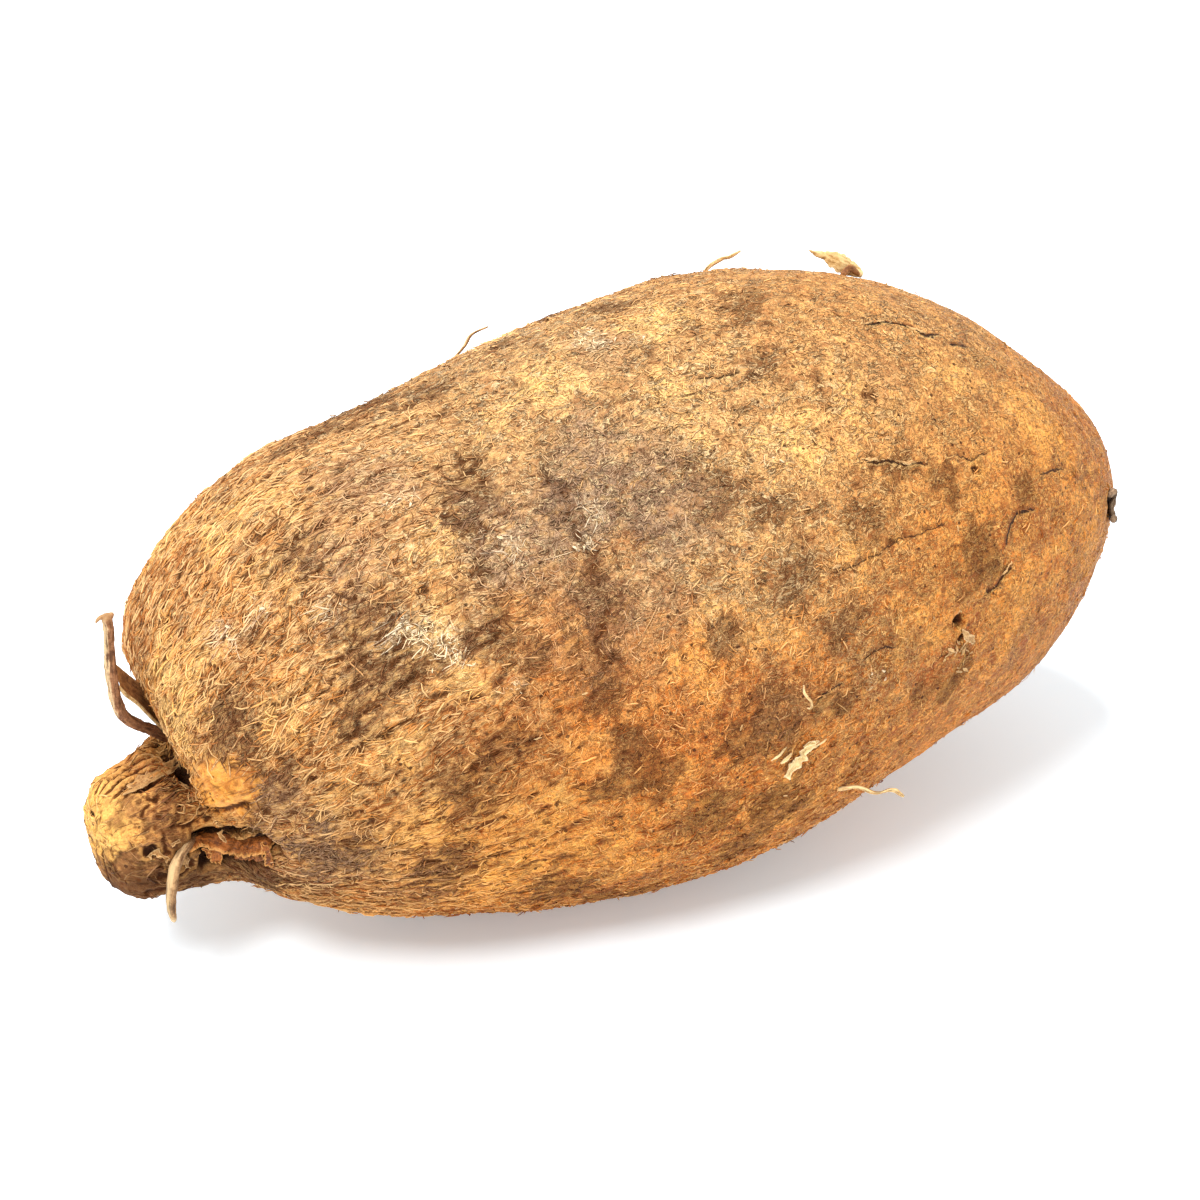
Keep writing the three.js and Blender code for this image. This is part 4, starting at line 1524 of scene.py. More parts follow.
def next_ring(bm, edges, move):
    """Extrudes a ring of edges once and moves the new ring. Returns its corners and edges."""
    grown = bmesh.ops.extrude_edge_only(bm, edges=edges)["geom"]
    ring = [item for item in grown if isinstance(item, bmesh.types.BMVert)]
    edges = [item for item in grown if isinstance(item, bmesh.types.BMEdge)]
    bmesh.ops.transform(bm, verts=ring, matrix=move)
    return ring, [edge for edge in edges if all(corner in ring for corner in edge.verts)]


def draw_root(bm, spine, thickness, sides, flat=1.0, cut=False):
    """Extrudes a ring along the spine. Thickness gives diameters, spread evenly along it."""
    count = len(spine.points)
    radii = np.interp(np.linspace(0, 1, count), np.linspace(0, 1, len(thickness)), thickness) / 2
    squeeze = Matrix.Diagonal((1, flat, 1, 1))
    stops = [spine.ring_place(index, radius) @ squeeze for index, radius in enumerate(radii)]
    ring = bmesh.ops.create_circle(bm, segments=sides, radius=1)["verts"]
    bmesh.ops.transform(bm, verts=ring, matrix=stops[0])
    edges = list(dict.fromkeys(edge for corner in ring for edge in corner.link_edges))
    first = ring
    for before, after in zip(stops, stops[1:]):
        ring, edges = next_ring(bm, edges, after @ before.inverted())
    last = stops[-1]
    for size in CUT_RINGS if cut else ():
        smaller = last @ Matrix.Scale(size, 4) @ last.inverted()
        ring, edges = next_ring(bm, edges, smaller)
        last = smaller @ last
    for index, rim in ((0, first), (-1, ring)):
        bmesh.ops.pointmerge(bm, verts=rim, merge_co=at(*spine.points[index]))


def joined_root(name, strands, grain_mm):
    """Draws strands, each a spine, its diameters and its sides, and remeshes them into one."""
    bm = bmesh.new()
    for strand_parts in strands:
        draw_root(bm, *strand_parts)
    mesh = remeshed(as_mesh(bm, name + "_shape"), grain_mm)
    put_places(mesh, evened(places(mesh), edge_ends(mesh), 2))
    return mesh


LIT_SIDE_WAY = np.array([-0.82, 0.33, 0.47])  # the way that a root's painted lit side faces


def wrinkled(mesh, spine, radius, depth, seed, knots=0.0):
    """Presses long wrinkles and a few knots into a root, and keeps its grain on it."""
    points = places(mesh)
    lie = spine.lie(points, radius)
    furrows = layered(seed, lie / np.array([0.55, 0.55, 3.6]), 3, 0.6)
    lumps = layered(seed + 5, points / 2.6, 2)
    put_places(mesh, points + normals(mesh) * (depth * furrows + knots * lumps)[:, None])
    # Painted shade is kept for the wrinkles, and painted light for the side facing up and left.
    wrinkle_shade = np.clip(-furrows * 1.6, 0, 1)
    lit_side = np.clip(0.5 + 0.5 * normals(mesh) @ LIT_SIDE_WAY, 0, 1)
    along = lie[:, 2] / spine.reach[-1]
    store(mesh, {"hollow": wrinkle_shade, "lit_side": lit_side, "along": along}, lie)


print("a straight root of 10 mm measures", Spine([(0, 0, 0), (0, 0, 10)], 6).reach[-1])

# %% [markdown]
# Dried root is wrinkled wood: painted shade in the furrows, tan on the ridges, painted light on
# one side and paler where it broke. Only the colours differ from root to root, so one function
# mixes all.

# %% Mix the finish of dried root
def root_finish(name, dark_brown, tan, tip, tip_from, lit_side_tone=rgb(0.8, 0.56, 0.3)):
    """Wrinkled bark: painted shade in furrows, a painted lit side, tan ridges and a paler broken
    end.
    """
    finish = Finish(name, specular=0.2)
    where = finish.place()
    lie = finish.attribute("grain", "Vector")
    fibre_run = finish.noise(finish.times(lie, (1, 1, 0.1)), 0.42, 4, 0.65, 0.4)
    patch = finish.noise(where, 2.2, 4, 0.65)
    fleck = finish.noise(where, 0.35, 3, 0.65)
    light = (fibre_run * 0.5 + patch * 0.5 + (fleck - 0.5) * 0.3).between(0.36, 0.62)
    colour = finish.mix(light, dark_brown, tan)
    # Painted light on the side of the root that faces up and left.
    painted_light = (finish["lit_side"] + (patch - 0.5) * 0.6).between(0.45, 0.8) * 0.65
    colour = colour.coat(painted_light, lit_side_tone)
    # Painted shade in the furrows and in the pressed wrinkles.
    furrow_shade = 1 - fibre_run.between(0.3, 0.44)
    colour = colour.coat(furrow_shade * 0.65, rgb(0.045, 0.016, 0.005))
    colour = colour.coat(finish["hollow"].between(0.1, 0.9) * 0.6, rgb(0.06, 0.022, 0.007))
    end_share = finish["along"].between(tip_from, min(tip_from + 0.06, 1))
    colour = colour.coat(end_share * fleck.between(0.2, 0.5) * 0.8, tip)
    relief = fibre_run * 0.3 + fleck * 0.14 + patch * 0.12
    return finish.surface(colour, 0.72, finish.bump(relief, strength=0.9))


# %% [markdown]
# The largest root grew from the back of the crown. It runs out, turns straight up, and ends in
# a little crossbar where it forked. The stem and the crossbar are drawn apart and remeshed
# together, so that they read as one dried piece.

# %% Make the forked root
ROOT_STEM = [
    (-90.5, 9.5, -14), (-98, 7, -7.9), (-102.3, 4.5, -3.6), (-106.2, 2, 0.1),
    (-109.3, 0.3, 3.7), (-110.9, -0.8, 7.2), (-111.7, -1.4, 10.6), (-112.3, -1.9, 15.2),
    (-112.5, -2.3, 19.4), (-112.6, -2.6, 22.9), (-112.7, -3, 26.6), (-113.2, -3, 28.6),
]
ROOT_TOE = [
    (-115.4, -3, 27.3), (-114.5, -3, 28.3), (-113.4, -3, 28.5), (-112.4, -3, 28.4),
    (-111.7, -3, 28.4), (-111.7, -3, 27.6),
]
ROOT_GRAIN = 0.24
stem = Spine(ROOT_STEM, 60)
strands = [
    (stem, (2.4, 2.3, 2.3, 2.4, 2.5, 2.4, 2.3, 2.2, 2.1, 1.7), 16),
    (Spine(ROOT_TOE, 16), (0.45, 0.85, 1.05, 1.05, 0.85, 0.5), 10),
]
root_mesh = joined_root("forked_root", strands, ROOT_GRAIN)
wrinkled(root_mesh, stem, 1.3, 0.13, 301, knots=0.14)
bark_brown = root_finish(
    "root_bark", rgb(0.12, 0.042, 0.017), rgb(0.35, 0.15, 0.062), rgb(0.34, 0.18, 0.075), 0.97
)
finished_piece("forked_dried_root", root_mesh, bark_brown, "dried_root", "forked_root")

# %% [markdown]
# A thinner root under the crown was cut off short. It is grey-beige, ribbed lengthways, and its
# cut end shows paler wood. The strand that split away from the largest root and the four
# rootlets are finer still. Each of them is one rod.

# %% Make the cut root and the rootlets
cut_grey = root_finish(
    "cut_root_bark", rgb(0.15, 0.068, 0.027), rgb(0.43, 0.24, 0.105), rgb(0.74, 0.52, 0.29), 0.93,
    lit_side_tone=rgb(0.62, 0.42, 0.21),
)
straw_root = root_finish(
    "straw_rootlet", rgb(0.42, 0.2, 0.06), rgb(0.86, 0.59, 0.27), rgb(0.9, 0.66, 0.36), 0.97
)
brown_rootlet = root_finish(
    "brown_rootlet", rgb(0.18, 0.08, 0.028), rgb(0.48, 0.27, 0.11), rgb(0.6, 0.4, 0.2), 0.97
)
WRINKLE_SHARE = 0.045  # how deep wrinkles and knots are, for each mm of thickness
KNOT_SHARE = 0.06
# Each root: name, nodes, finish, stops, diameters, how flat, whether it ends in a cut.
small_roots = [
    ("cut_off_root", ["cut_root"], cut_grey,
     [(-98.5, -8, -21.5), (-103.5, -12.4, -20.6), (-106.8, -14.6, -22.4), (-108.6, -16, -26.2),
      (-109, -16.2, -30.3), (-108.5, -16, -33.6)],
     (1.9, 2.3, 2.2, 2.4, 2.5, 2.4, 2.3, 1.9, 1.1), 0.88, True),
    ("split_strand", [], straw_root,
     [(-111.3, -1.6, 12.4), (-110.3, -1.1, 10.8), (-108.9, -0.5, 8.6), (-106.1, 0.9, 5.1),
      (-103, 2.7, 0.5), (-99.5, 4.9, -4.7), (-97, 6.9, -8.4)],
     (0.5, 0.75, 0.8, 0.75, 0.7, 0.85, 0.8), 0.8, False),
    ("ridge_rootlet", ["top_rootlet"], straw_root,
     [(30.6, 23.2, 48.2), (33.2, 24, 52.9), (36.8, 24, 54.5), (39, 24.3, 54.4), (41.6, 24, 55.4)],
     (0.6, 0.9, 1.1, 0.8, 1, 0.5), 0.6, False),
    ("shoulder_curl", ["shoulder_rootlet"], brown_rootlet,
     [(-22.2, 31.8, 37.2), (-20.4, 33, 41.5), (-17.4, 33, 44.7), (-15.6, 33.2, 46.7),
      (-11.8, 33, 47.7)],
     (0.7, 0.8, 0.6, 0.8, 0.6, 0.35), 0.7, False),
    ("foot_rootlet", ["floor_rootlet"], straw_root,
     [(14.6, -47.9, -22.6), (19, -51, -25), (22.6, -53, -24.8), (26, -54.4, -26.5),
      (29.4, -55.2, -26.4), (32.2, -55.4, -28.9)],
     (0.7, 1.5, 1.2, 1.4, 1, 1.3, 0.8), 0.5, False),
    ("side_curl", ["side_rootlet"], straw_root,
     [(7.3, -55.6, 0.4), (6.9, -59.2, 1.3), (6.3, -60.6, 3.6), (5, -60.1, 5.8),
      (4.9, -59.9, 7.6)],
     (0.35, 0.5, 0.45, 0.5, 0.3), 0.6, False),
]
for seed, (name, nodes, finish, stops, thickness, flat, cut) in enumerate(small_roots, 311):
    spine = Spine(stops, 44)
    bm = bmesh.new()
    draw_root(bm, spine, thickness, 16, flat, cut)
    bmesh.ops.recalc_face_normals(bm, faces=bm.faces)
    mesh, thick = as_mesh(bm, name + "_shape"), max(thickness)
    wrinkled(mesh, spine, thick / 2, WRINKLE_SHARE * thick, seed, KNOT_SHARE * thick)
    finished_piece(name, mesh, finish, "dried_root", *nodes)

# %% [markdown]
# Papery skin comes away from a yam in thin scraps. Each one is a small grid laid along a path:
# its width swells and narrows, its edges are torn by noise, it is cupped across and crumpled,
# and last it gets a real thickness. One function makes the large flap, the husk on the crown
# and the smallest flecks, which have only a few faces each.

# %% Make papery scraps
FLAKE_WIDE = (0.25, 0.8, 1, 0.9, 0.3)
TOWARDS_VIEW = (-0.43, -0.75, 0.5)


def add_sheet(bm, one_side, other_side, ups, cup=0.0, crumple=0.15, thickness=0.1, cols=5, seed=1):
    """Adds a thin sheet between two lines, and keeps its grain and how near its edge it is."""
    layers = bm.verts.layers
    edge_layer = layers.float.get("edge") or layers.float.new("edge")
    grain_layer = layers.float_vector.get("grain") or layers.float_vector.new("grain")
    rows = len(one_side) - 1
    corners = bmesh.ops.create_grid(bm, x_segments=rows, y_segments=cols, size=0.5)["verts"]
    flat = np.array([corner.co for corner in corners])
    along, across = flat[:, 0] + 0.5, flat[:, 1] * 2
    row = np.clip(np.round(along * rows).astype(int), 0, rows)
    share = (across / 2 + 0.5)[:, None]
    made = other_side[row] * (1 - share) + one_side[row] * share
    made += ups[row] * (cup * across**2)[:, None]
    made += ups[row] * (crumple * layered(seed + 7, made / 1.3, 3, 0.6))[:, None]
    length = np.linalg.norm(np.diff((one_side + other_side) / 2, axis=0), axis=1).sum()
    half = np.linalg.norm(one_side - other_side, axis=1)[row] / 2
    for corner, place, part, side, aside in zip(corners, made, along, across, across * half):
        corner.co = at(*place)
        corner[edge_layer] = max(abs(side), abs(2 * part - 1) ** 3)
        corner[grain_layer] = Vector((aside, seed * 3.1, part * length)) * MM
    faces = list(dict.fromkeys(face for corner in corners for face in corner.link_faces))
    bmesh.ops.solidify(bm, geom=faces, thickness=thickness * MM)


def add_scrap(bm, stops, width, facing, profile=FLAKE_WIDE, torn=0.6, rows=14, seed=1, **shape):
    """Adds one scrap along a path: its width swells and narrows, and its edges are torn."""
    spots = smooth_path(stops, rows + 1)
    ways = unit(np.gradient(spots, axis=0))
    side = unit(np.cross(np.array(facing, float), ways))
    part = np.linspace(0, 1, rows + 1)
    half = width / 2 * np.interp(part, np.linspace(0, 1, len(profile)), profile)
    length = np.linalg.norm(np.diff(spots, axis=0), axis=1).sum()
    edges = []
    for sign in (1, -1):
        aside, key = np.full(rows + 1, sign * 9.3), np.full(rows + 1, seed)
        place = np.column_stack([part * length / 1.6, aside, key])
        reach = half * (1 + torn * layered(seed, place, 3, 0.7))
        edges.append(spots + side * (sign * reach)[:, None])
    add_sheet(bm, *edges, np.cross(ways, side), seed=seed, **shape)


def paper_piece(name, scraps, material, *nodes, slot="papery_skin"):
    """Makes one piece from a list of scraps and sheets."""
    bm = bmesh.new()
    for scrap in scraps:
        (add_scrap if "stops" in scrap else add_sheet)(bm, **scrap)
    bmesh.ops.recalc_face_normals(bm, faces=bm.faces)
    finished_piece(name, as_mesh(bm, name + "_shape"), material, slot, *nodes)


# %% [markdown]
# Dry skin has veins, brown flecks and a rim of another tone. Seven papers differ only in their
# three colours, so a table holds them.

# %% Mix the papers
def paper_finish(name, dark_tone, light_tone, rim_tone):
    """Thin dry skin: fine veins along it, brown flecks, and a paler or darker rim."""
    finish = Finish(name, specular=0.2)
    where = finish.place()
    lie = finish.times(finish.attribute("grain", "Vector"), (1, 1, 0.14))
    vein = finish.noise(lie, 0.38, 3, 0.6, 0.4)
    patch = finish.noise(where, 1.6, 4, 0.65)
    fleck = finish.noise(where, 0.3, 3, 0.65)
    light = (vein * 0.5 + patch * 0.5 + (fleck - 0.5) * 0.35).between(0.36, 0.6)
    colour = finish.mix(light, dark_tone, light_tone)
    colour = colour.coat((1 - vein.between(0.3, 0.42)) * 0.55, rgb(0.16, 0.06, 0.018))
    colour = colour.coat(fleck.between(0.62, 0.72) * 0.5, rgb(0.2, 0.08, 0.025))
    rim = (finish["edge"] + (fleck - 0.5) * 0.5).between(0.72, 0.98)
    colour = colour.coat(rim * 0.75, rim_tone)
    relief = vein * 0.22 + fleck * 0.12 + patch * 0.15
    return finish.surface(colour, 0.6, finish.bump(relief, strength=0.8))


# Each paper: its dark tone, its light tone and its rim.
papers = {
    "straw": (rgb(0.48, 0.27, 0.085), rgb(0.74, 0.52, 0.24), rgb(0.8, 0.6, 0.33)),
    "brown": (rgb(0.12, 0.04, 0.012), rgb(0.33, 0.14, 0.045), rgb(0.42, 0.2, 0.07)),
    "white": (rgb(0.46, 0.3, 0.14), rgb(0.76, 0.59, 0.37), rgb(0.8, 0.66, 0.46)),
    "husk": (rgb(0.085, 0.022, 0.005), rgb(0.35, 0.104, 0.018), rgb(0.66, 0.3, 0.08)),
    "grey": (rgb(0.17, 0.07, 0.02), rgb(0.42, 0.22, 0.075), rgb(0.56, 0.34, 0.15)),
    "tan": (rgb(0.33, 0.155, 0.05), rgb(0.6, 0.35, 0.14), rgb(0.7, 0.46, 0.22)),
    # The last is almost black: painted shade for the inside of the tail hole.
    "hole_shade": (rgb(0.006, 0.003, 0.002), rgb(0.035, 0.017, 0.009), rgb(0.03, 0.016, 0.009)),
}
papers = {name: paper_finish(name + "_paper", *tones) for name, tones in papers.items()}


def lifted(along, degrees, lift):
    """A place on the sculpted skin, raised above it."""
    spot, out = snapped([on_skin(along, degrees)])
    return spot[0] + out[0] * lift


print("papers:", ", ".join(papers))

# %% [markdown]
# The flap on the ridge is a straw leaf with a long thin tip, standing on its base, with a small
# dark fold under it. The flake low on the side is a torn straw rectangle with a curl above it.

# %% Make the flap and the flake
flap_parts = [
    dict(
        stops=[(64.3, 13.5, 48.9), (61, 14.4, 51.3), (57.6, 15.2, 53.6), (54.9, 15.8, 54.8),
               (53, 16.1, 56)], width=3.6, facing=TOWARDS_VIEW,
        profile=(0.35, 0.8, 1, 0.95, 0.6, 0.34, 0.18, 0.05), cup=-0.35, torn=0.35, crumple=0.16,
        thickness=0.14, rows=34, cols=8, seed=331,
    ),
]
fold_parts = [
    dict(
        stops=[(58, 12.8, 49.6), (59.8, 12.9, 51), (61.4, 13.2, 51), (63.4, 13.4, 49.2)],
        width=1.5, facing=(-0.3, -0.8, 0.5), profile=(0.3, 0.9, 1, 0.4), cup=-0.2, torn=0.3,
        thickness=0.14, rows=16, seed=333,
    ),
]
paper_piece("ridge_flap", flap_parts, papers["straw"], "top_flap")
paper_piece("ridge_flap_fold", fold_parts, papers["brown"])

flake_parts = [
    dict(
        stops=[lifted(2.8, 103.4, 0.9), lifted(4.4, 101.5, 0.5), lifted(5.8, 99.7, 0.5),
               lifted(7, 98, 0.6), lifted(8.2, 96, 1.1)], width=2.8, facing=(0.03, -0.99, -0.1),
        profile=(0.55, 0.85, 0.9, 1, 0.9, 0.35), cup=0.3, crumple=0.28, thickness=0.14, rows=30,
        cols=9, seed=341,
    ),
    dict(
        stops=[lifted(6.4, 97.4, 0.4), lifted(7.6, 96.6, 1), lifted(9.6, 96.9, 0.8)], width=0.8,
        facing=(0.1, -1, 0.3), cup=0.2, cols=4, seed=342,
    ),
    dict(
        stops=[lifted(1.4, 99.5, 0.3), lifted(2.5, 98.7, 0.8), lifted(3.6, 98, 0.4)], width=0.8,
        facing=(0.1, -1, 0.2), cup=0.2, crumple=0.2, rows=10, cols=4, seed=343,
    ),
    dict(
        stops=[lifted(-0.6, 98.6, 0.2), lifted(1, 97.4, 0.7), lifted(2.6, 96.4, 0.3)], width=0.45,
        facing=(0.1, -1, 0.2), rows=12, cols=3, seed=344,
    ),
    dict(
        stops=[lifted(8.2, 98.6, 0.3), lifted(9.8, 98.1, 0.7), lifted(11.6, 97.3, 0.5)], width=0.4,
        facing=(0.1, -1, 0.2), rows=12, cols=3, seed=345,
    ),
]
paper_piece("side_flake", flake_parts, papers["straw"], "skin_flake")

# %% [markdown]
# Under the crown the skin has torn into a pocket. Its husk is a curled leaf: one edge is fixed
# deep in the pocket, and the free edge is dry, orange and ragged. Smaller torn bits hang below
# it. The leaf is a sheet between two lines that are laid on the skin, so it fits the pocket.

# %% Make the husk in the pocket
def sunk(line, count, depth, torn=0.0, seed=1):
    """A line on the skin, resampled, moved in or out of it by a depth, and torn up and down."""
    picked = smooth_path(line[:: max(len(line) // 12, 1)], count)
    spots, outs = zip(*[skin_tree.find_nearest(Vector(place))[:2] for place in picked])
    tear = layered(seed, np.column_stack([np.arange(count) / 3.2, np.zeros((count, 2))]), 3, 0.75)
    spots = np.array(spots) - np.array([outs]).reshape(-1, 3) * np.reshape(depth, (-1, 1))
    return spots + np.array([0.1, 0.25, 1.0]) * (torn * tear)[:, None]


HUSK_ROWS = 70
HUSK_DEPTH = 3.8
leaf_rim = sunk(rim, HUSK_ROWS, -0.45, torn=0.55, seed=351)
leaf_top = 0.5 * sunk(slit[4:-2], HUSK_ROWS, HUSK_DEPTH) + 0.5 * sunk(rim, HUSK_ROWS, HUSK_DEPTH)
leaf_ups = unit(np.cross(np.gradient(leaf_rim, axis=0), leaf_top - leaf_rim))
leaf_ups *= np.sign(leaf_ups @ np.array(TOWARDS_VIEW))[:, None]
husk_parts = [
    dict(
        one_side=leaf_top, other_side=leaf_rim, ups=leaf_ups, cup=-0.7, crumple=0.45, thickness=0.18,
        cols=14, seed=351,
    ),
    dict(
        stops=[(-98.6, -13, -22.2), (-97.6, -12.8, -24.4), (-96.8, -12.2, -26.6)], width=2.2,
        facing=(-0.5, -0.8, -0.1), profile=(0.8, 1, 0.7, 0.4), cup=0.4, crumple=0.5, thickness=0.14,
        rows=20, cols=7, seed=352,
    ),
    dict(
        stops=[(-94.6, -14.2, -24.6), (-93.6, -17.4, -23.6), (-93.2, -20.8, -21.8),
               (-92.8, -23.4, -20.4)], width=1.6, facing=(-0.7, -0.6, -0.3),
        profile=(0.5, 1, 0.6, 1, 0.6), cup=-0.4, torn=0.8, crumple=0.6, thickness=0.14, rows=34,
        cols=8, seed=353,
    ),
    dict(
        stops=[(-94.3, -27, -14.2), (-93.2, -27.2, -16.4), (-92.6, -26.4, -18.8),
               (-92.2, -25.2, -21.2)], width=2.0, facing=(-0.75, -0.6, -0.1),
        profile=(0.4, 1, 0.8, 0.9, 0.5), cup=0.5, torn=0.5, crumple=0.4, rows=28, cols=7, seed=355,
    ),
    dict(
        stops=[(-100.6, -12.9, -21.4), (-99.4, -12.8, -22.8), (-98.8, -12.4, -24.6)], width=1,
        facing=(-0.3, -0.9, 0), cup=0.3, crumple=0.3, seed=356,
    ),
]
paper_piece("pocket_husk", husk_parts, papers["husk"], "crown_husk")

# %% [markdown]
# A web of dry skin joins the largest root and the strand beside it: one more sheet.

# %% Make the web between the roots
WEB_LEFT = [
    (-111.5, -1.6, 16.8), (-110.6, -1, 13.2), (-109.6, -0.3, 9.9), (-106.7, 1.2, 6),
    (-103.4, 3, 1.1), (-99.9, 5.2, -4.3),
]
WEB_RIGHT = [
    (-111.2, -1.2, 16.9), (-107.9, 1.4, 12.4), (-105, 3.4, 8.7), (-101, 6, 3.6),
    (-97.5, 8.5, -2), (-94, 10, -7.1),
]
WEB_ROWS = 40
web_sides = [smooth_path(side, WEB_ROWS) for side in (WEB_LEFT, WEB_RIGHT)]
web_parts = [
    dict(
        one_side=web_sides[0], other_side=web_sides[1], ups=np.tile(TOWARDS_VIEW, (WEB_ROWS, 1)),
        cup=0.35, crumple=0.35, thickness=0.16, cols=12, seed=358,
    ),
]
paper_piece("root_sheath", web_parts, papers["brown"])

# %% [markdown]
# Grey strips of old skin lie along the stub, and torn lips stand beside the cut root.

# %% Make the scraps on the crown
strip_parts = [
    dict(
        stops=[crown_spot(7.5, 3, 13.4), crown_spot(11, 7, 13.3), crown_spot(15, 9, 12.9),
               crown_spot(19.5, 8, 11.8)], width=1.9, facing=(0, -0.3, 1),
        profile=(0.3, 1, 0.7, 1, 0.5), cup=-0.3, torn=0.7, crumple=0.35, thickness=0.14,
        rows=34, cols=7, seed=361,
    ),
    dict(
        stops=[crown_spot(5.5, 6, 13.5), crown_spot(10, 12, 13.3), crown_spot(16, 14, 12.6),
               crown_spot(21, 13, 11.4)], width=0.9, facing=(0, -0.3, 1), cup=-0.3, torn=0.7,
        crumple=0.35, thickness=0.14, rows=30, seed=366,
    ),
    dict(
        stops=[(-111, -12, -20.6), (-110.4, -12.7, -19.4), (-109.1, -13.2, -20),
               (-108, -13.3, -21.8)], width=1.3, facing=(-0.3, -0.9, 0.2),
        profile=(0.8, 0.3, 1, 0.4, 0.9), cup=0.4, torn=1.0, crumple=0.5, rows=26, seed=362,
    ),
    dict(
        stops=[(-104.6, -13.1, -20.8), (-104.2, -13.8, -22.6), (-104, -13.4, -24.4)], width=1.6,
        facing=(-0.3, -0.9, 0), profile=(0.9, 0.4, 1, 0.5, 0.8), cup=0.3, torn=1.0, crumple=0.5,
        rows=24, seed=363,
    ),
    dict(
        stops=[(-98.9, -18, -15.4), (-98.7, -19.2, -16.4), (-98.6, -20.6, -16.4)], width=1.1,
        facing=(-0.6, -0.7, 0.3), profile=(1, 0.5, 0.8), cup=0.2, torn=0.9, crumple=0.4, cols=4,
        seed=364,
    ),
    dict(
        stops=[(-107, -13.2, -18.6), (-106.2, -13.6, -18), (-105, -13.3, -18.2)], width=0.9,
        facing=(-0.1, -0.9, 0.4), profile=(0.9, 0.4, 0.9), cup=0.2, torn=0.9, crumple=0.4, cols=4,
        seed=365,
    ),
]
paper_piece("crown_scraps", strip_parts, papers["grey"])

# %% [markdown]
# Where a crack opens, the skin above it dries and lifts into a thin pale lip. Each lip is a
# narrow scrap on three places of the sculpted skin, with its middle arched.

# %% Lay lips along the cracks
THIN = 0.08  # how thick the lips and flecks are, mm
LIP_END = 0.1  # how high the two ends of a lip stand over the skin, mm
# Each lip: how high its middle arches, then the place and angle of its start, middle and end.
lip_lines = [
    (0.3, 47, 14.4, 50, 13.6, 54, 13.8), (0.3, 57, 15, 59, 16.2, 61, 17.4),
    (0.35, 29, 44.6, 31.5, 45.2, 34.5, 46), (0.3, 37, 46.6, 39.5, 47.6, 42, 48),
    (0.3, 36, 36.6, 38, 37, 40, 38), (0.5, 45.8, 91.5, 46.8, 90.2, 48.2, 89.6),
    (0.5, 46.2, 92.8, 47.4, 91.4, 48.3, 90.6), (0.4, 44.2, 91.8, 45, 90.4, 45.4, 89),
    (0.4, 41.6, 91.6, 43, 90.4, 44.4, 90.2), (0.4, 47.4, 95.2, 48.6, 94, 50, 93.2),
    (0.2, 45.4, 82.2, 46, 81.2, 46.7, 82), (0.3, 59.2, 78, 60.6, 77, 62.2, 75.6),
]
lip_parts = []
for arch, *spots in lip_lines:
    start, middle_spot, end = zip(spots[::2], spots[1::2])
    out = lifted(*middle_spot, 1) - lifted(*middle_spot, 0)
    lip_parts.append(dict(
        stops=[lifted(*start, LIP_END), lifted(*middle_spot, arch), lifted(*end, LIP_END)],
        width=0.5, facing=tuple(out), cup=-0.2, torn=1.2, crumple=0.5, thickness=THIN, rows=18,
        cols=3, seed=371 + len(lip_parts),
    ))
lip_parts.append(dict(
    stops=[lifted(46.4, 85.8, 0.1), lifted(47.6, 87.4, 0.5), lifted(49, 89.2, 0.35),
           lifted(50.3, 90.8, 0.1)],
    width=1.6, facing=(0.1, -1, 0.2), cup=0.25, torn=0.5, crumple=0.2, thickness=THIN, rows=20,
    seed=391,
))
print("lips:", len(lip_parts))

# %% [markdown]
# Scraps of white inner skin cling to the middle in groups, and tan flakes lie loose all over.
# They are many, so one function makes each from a place and a seeded draw.

# %% Scatter the white flecks and the loose flakes
draw = np.random.default_rng(381)


def fleck(along, degrees, reach, arch, tip, seed):
    """A tiny torn scrap that clings to the skin, arched in the middle or lifted at one end."""
    spot, way = lifted(along, degrees, 0.1), unit(draw.normal(size=(1, 3)))[0]
    out = unit((lifted(along, degrees, 1) - spot)[None])[0]
    way = unit((way - out * (way @ out))[None])[0]
    return dict(
        stops=[spot - way * reach, spot + out * arch, spot + way * reach + out * tip],
        width=reach * draw.uniform(0.4, 0.9), facing=tuple(out), cup=draw.uniform(-0.25, 0.25),
        thickness=THIN, rows=5, cols=3, seed=seed,
    )


fleck_parts = []
for along, degrees, size, strength in papery_patches:
    for _ in range(round(1.8 * size * strength)):
        x, turn = along + draw.normal(0, size * 0.45), degrees + draw.normal(0, size * 0.45)
        fleck_parts.append(fleck(
            x, turn, draw.uniform(0.25, 0.65), draw.uniform(0.15, 0.5), 0, 400 + len(fleck_parts)
        ))
loose_parts = []
# Where loose flakes lie: how many, the range along the yam and the range round it.
for count, x_from, x_to, turn_from, turn_to in (
    (50, -70, 55, -20, 80), (40, -70, 60, 80, 330), (10, 43, 49, 88, 97), (8, 24, 38, 30, 42),
):
    for _ in range(count):
        x, turn = draw.uniform(x_from, x_to), draw.uniform(turn_from, turn_to)
        loose_parts.append(fleck(
            x, turn, draw.uniform(0.3, 0.9), 0.12, draw.uniform(0.15, 0.55), 700 + len(loose_parts)
        ))
paper_piece("loose_flakes", loose_parts, papers["tan"])
paper_piece("crack_lips", lip_parts, papers["tan"])
paper_piece("white_flecks", fleck_parts, papers["white"])
print("flecks:", len(fleck_parts), "and loose flakes:", len(loose_parts))

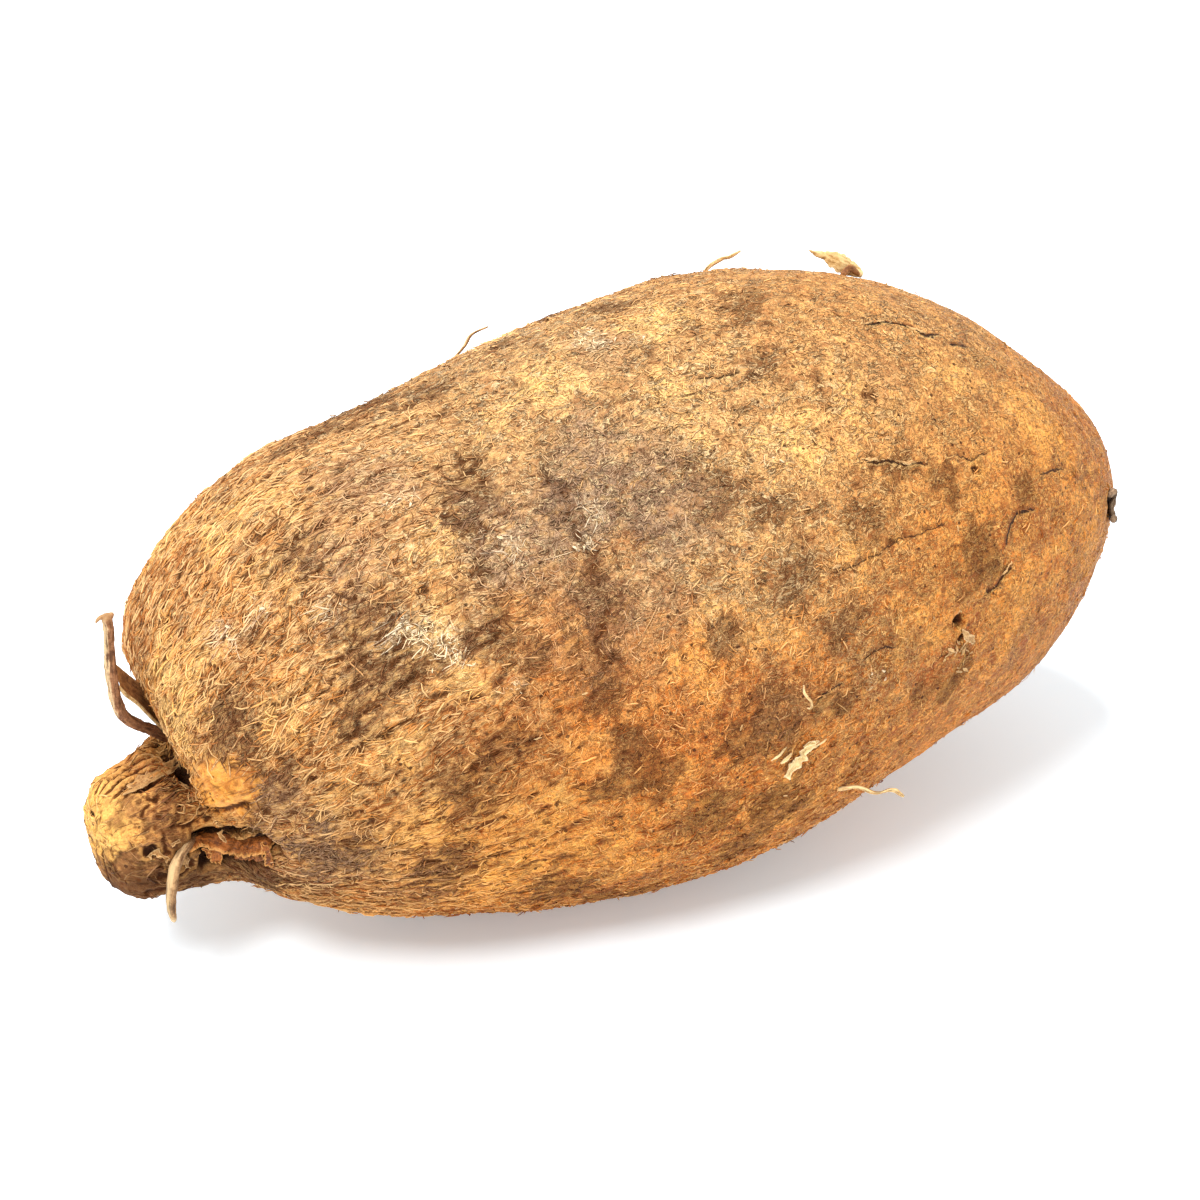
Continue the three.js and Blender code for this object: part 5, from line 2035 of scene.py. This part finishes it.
# %% [markdown]
# At the tail the last root broke off and left a hole with a puckered, grey-brown rim. The rim is
# one lumpy cord laid round the hole and remeshed, so its lobes run into each other. A near black
# sheet inside it paints the shade in the hole.

# %% Make the rim at the tail
TAIL_HOLE = np.array([101.8, -24.6, 3.2])
TAIL_FACING = np.array([0.71, -0.7, 0.08])
RIM_GRAIN = 0.2
RIM_STOPS = 15
HOLE_SHADE_DEPTH = 1.8
across = unit(np.cross(TAIL_FACING, (0, 0, 1))[None])[0]
upright = np.cross(across, TAIL_FACING)
rim_stops = []
for step in range(RIM_STOPS):
    turn = math.radians(50 + 260 * step / (RIM_STOPS - 1))
    reach = 2.3 + 0.3 * math.sin(3.1 * turn) + 0.15 * math.cos(5.3 * turn)
    lift = 0.4 + 0.38 * math.sin(2.6 * turn + 1)
    rim_stops.append(
        TAIL_HOLE + TAIL_FACING * lift
        + (across * math.cos(turn) * 0.8 + upright * math.sin(turn) * 1.25) * reach
    )
rim_spine = Spine(rim_stops, 70)
rim_thickness = (0.7, 1.5, 1.1, 1.7, 1.2, 1, 1.5, 1.1, 1.7, 1.2, 1.6, 0.7)
rim_mesh = joined_root("tail_rim", [(rim_spine, rim_thickness, 12)], RIM_GRAIN)
wrinkled(rim_mesh, rim_spine, 0.8, 0.1, 391, knots=0.18)
rim_bark = root_finish(
    "tail_rim_bark", rgb(0.07, 0.036, 0.019), rgb(0.32, 0.2, 0.115), rgb(0.2, 0.13, 0.08), 0.95,
    lit_side_tone=rgb(0.42, 0.28, 0.17),
)
finished_piece("puckered_tail_rim", rim_mesh, rim_bark, "skin", "tail_rim")
# A near black sheet inside the rim, painted shade in the hole.
hole_top = rim_spine.points
hole_foot = hole_top - TAIL_FACING * HOLE_SHADE_DEPTH
hole_parts = [dict(
    one_side=hole_top, other_side=hole_foot, ups=unit(TAIL_HOLE - hole_top), cup=0.2,
    crumple=0.3, thickness=0.25, cols=6, seed=395,
)]
paper_piece("tail_hole_shade", hole_parts, papers["hole_shade"], slot="skin")
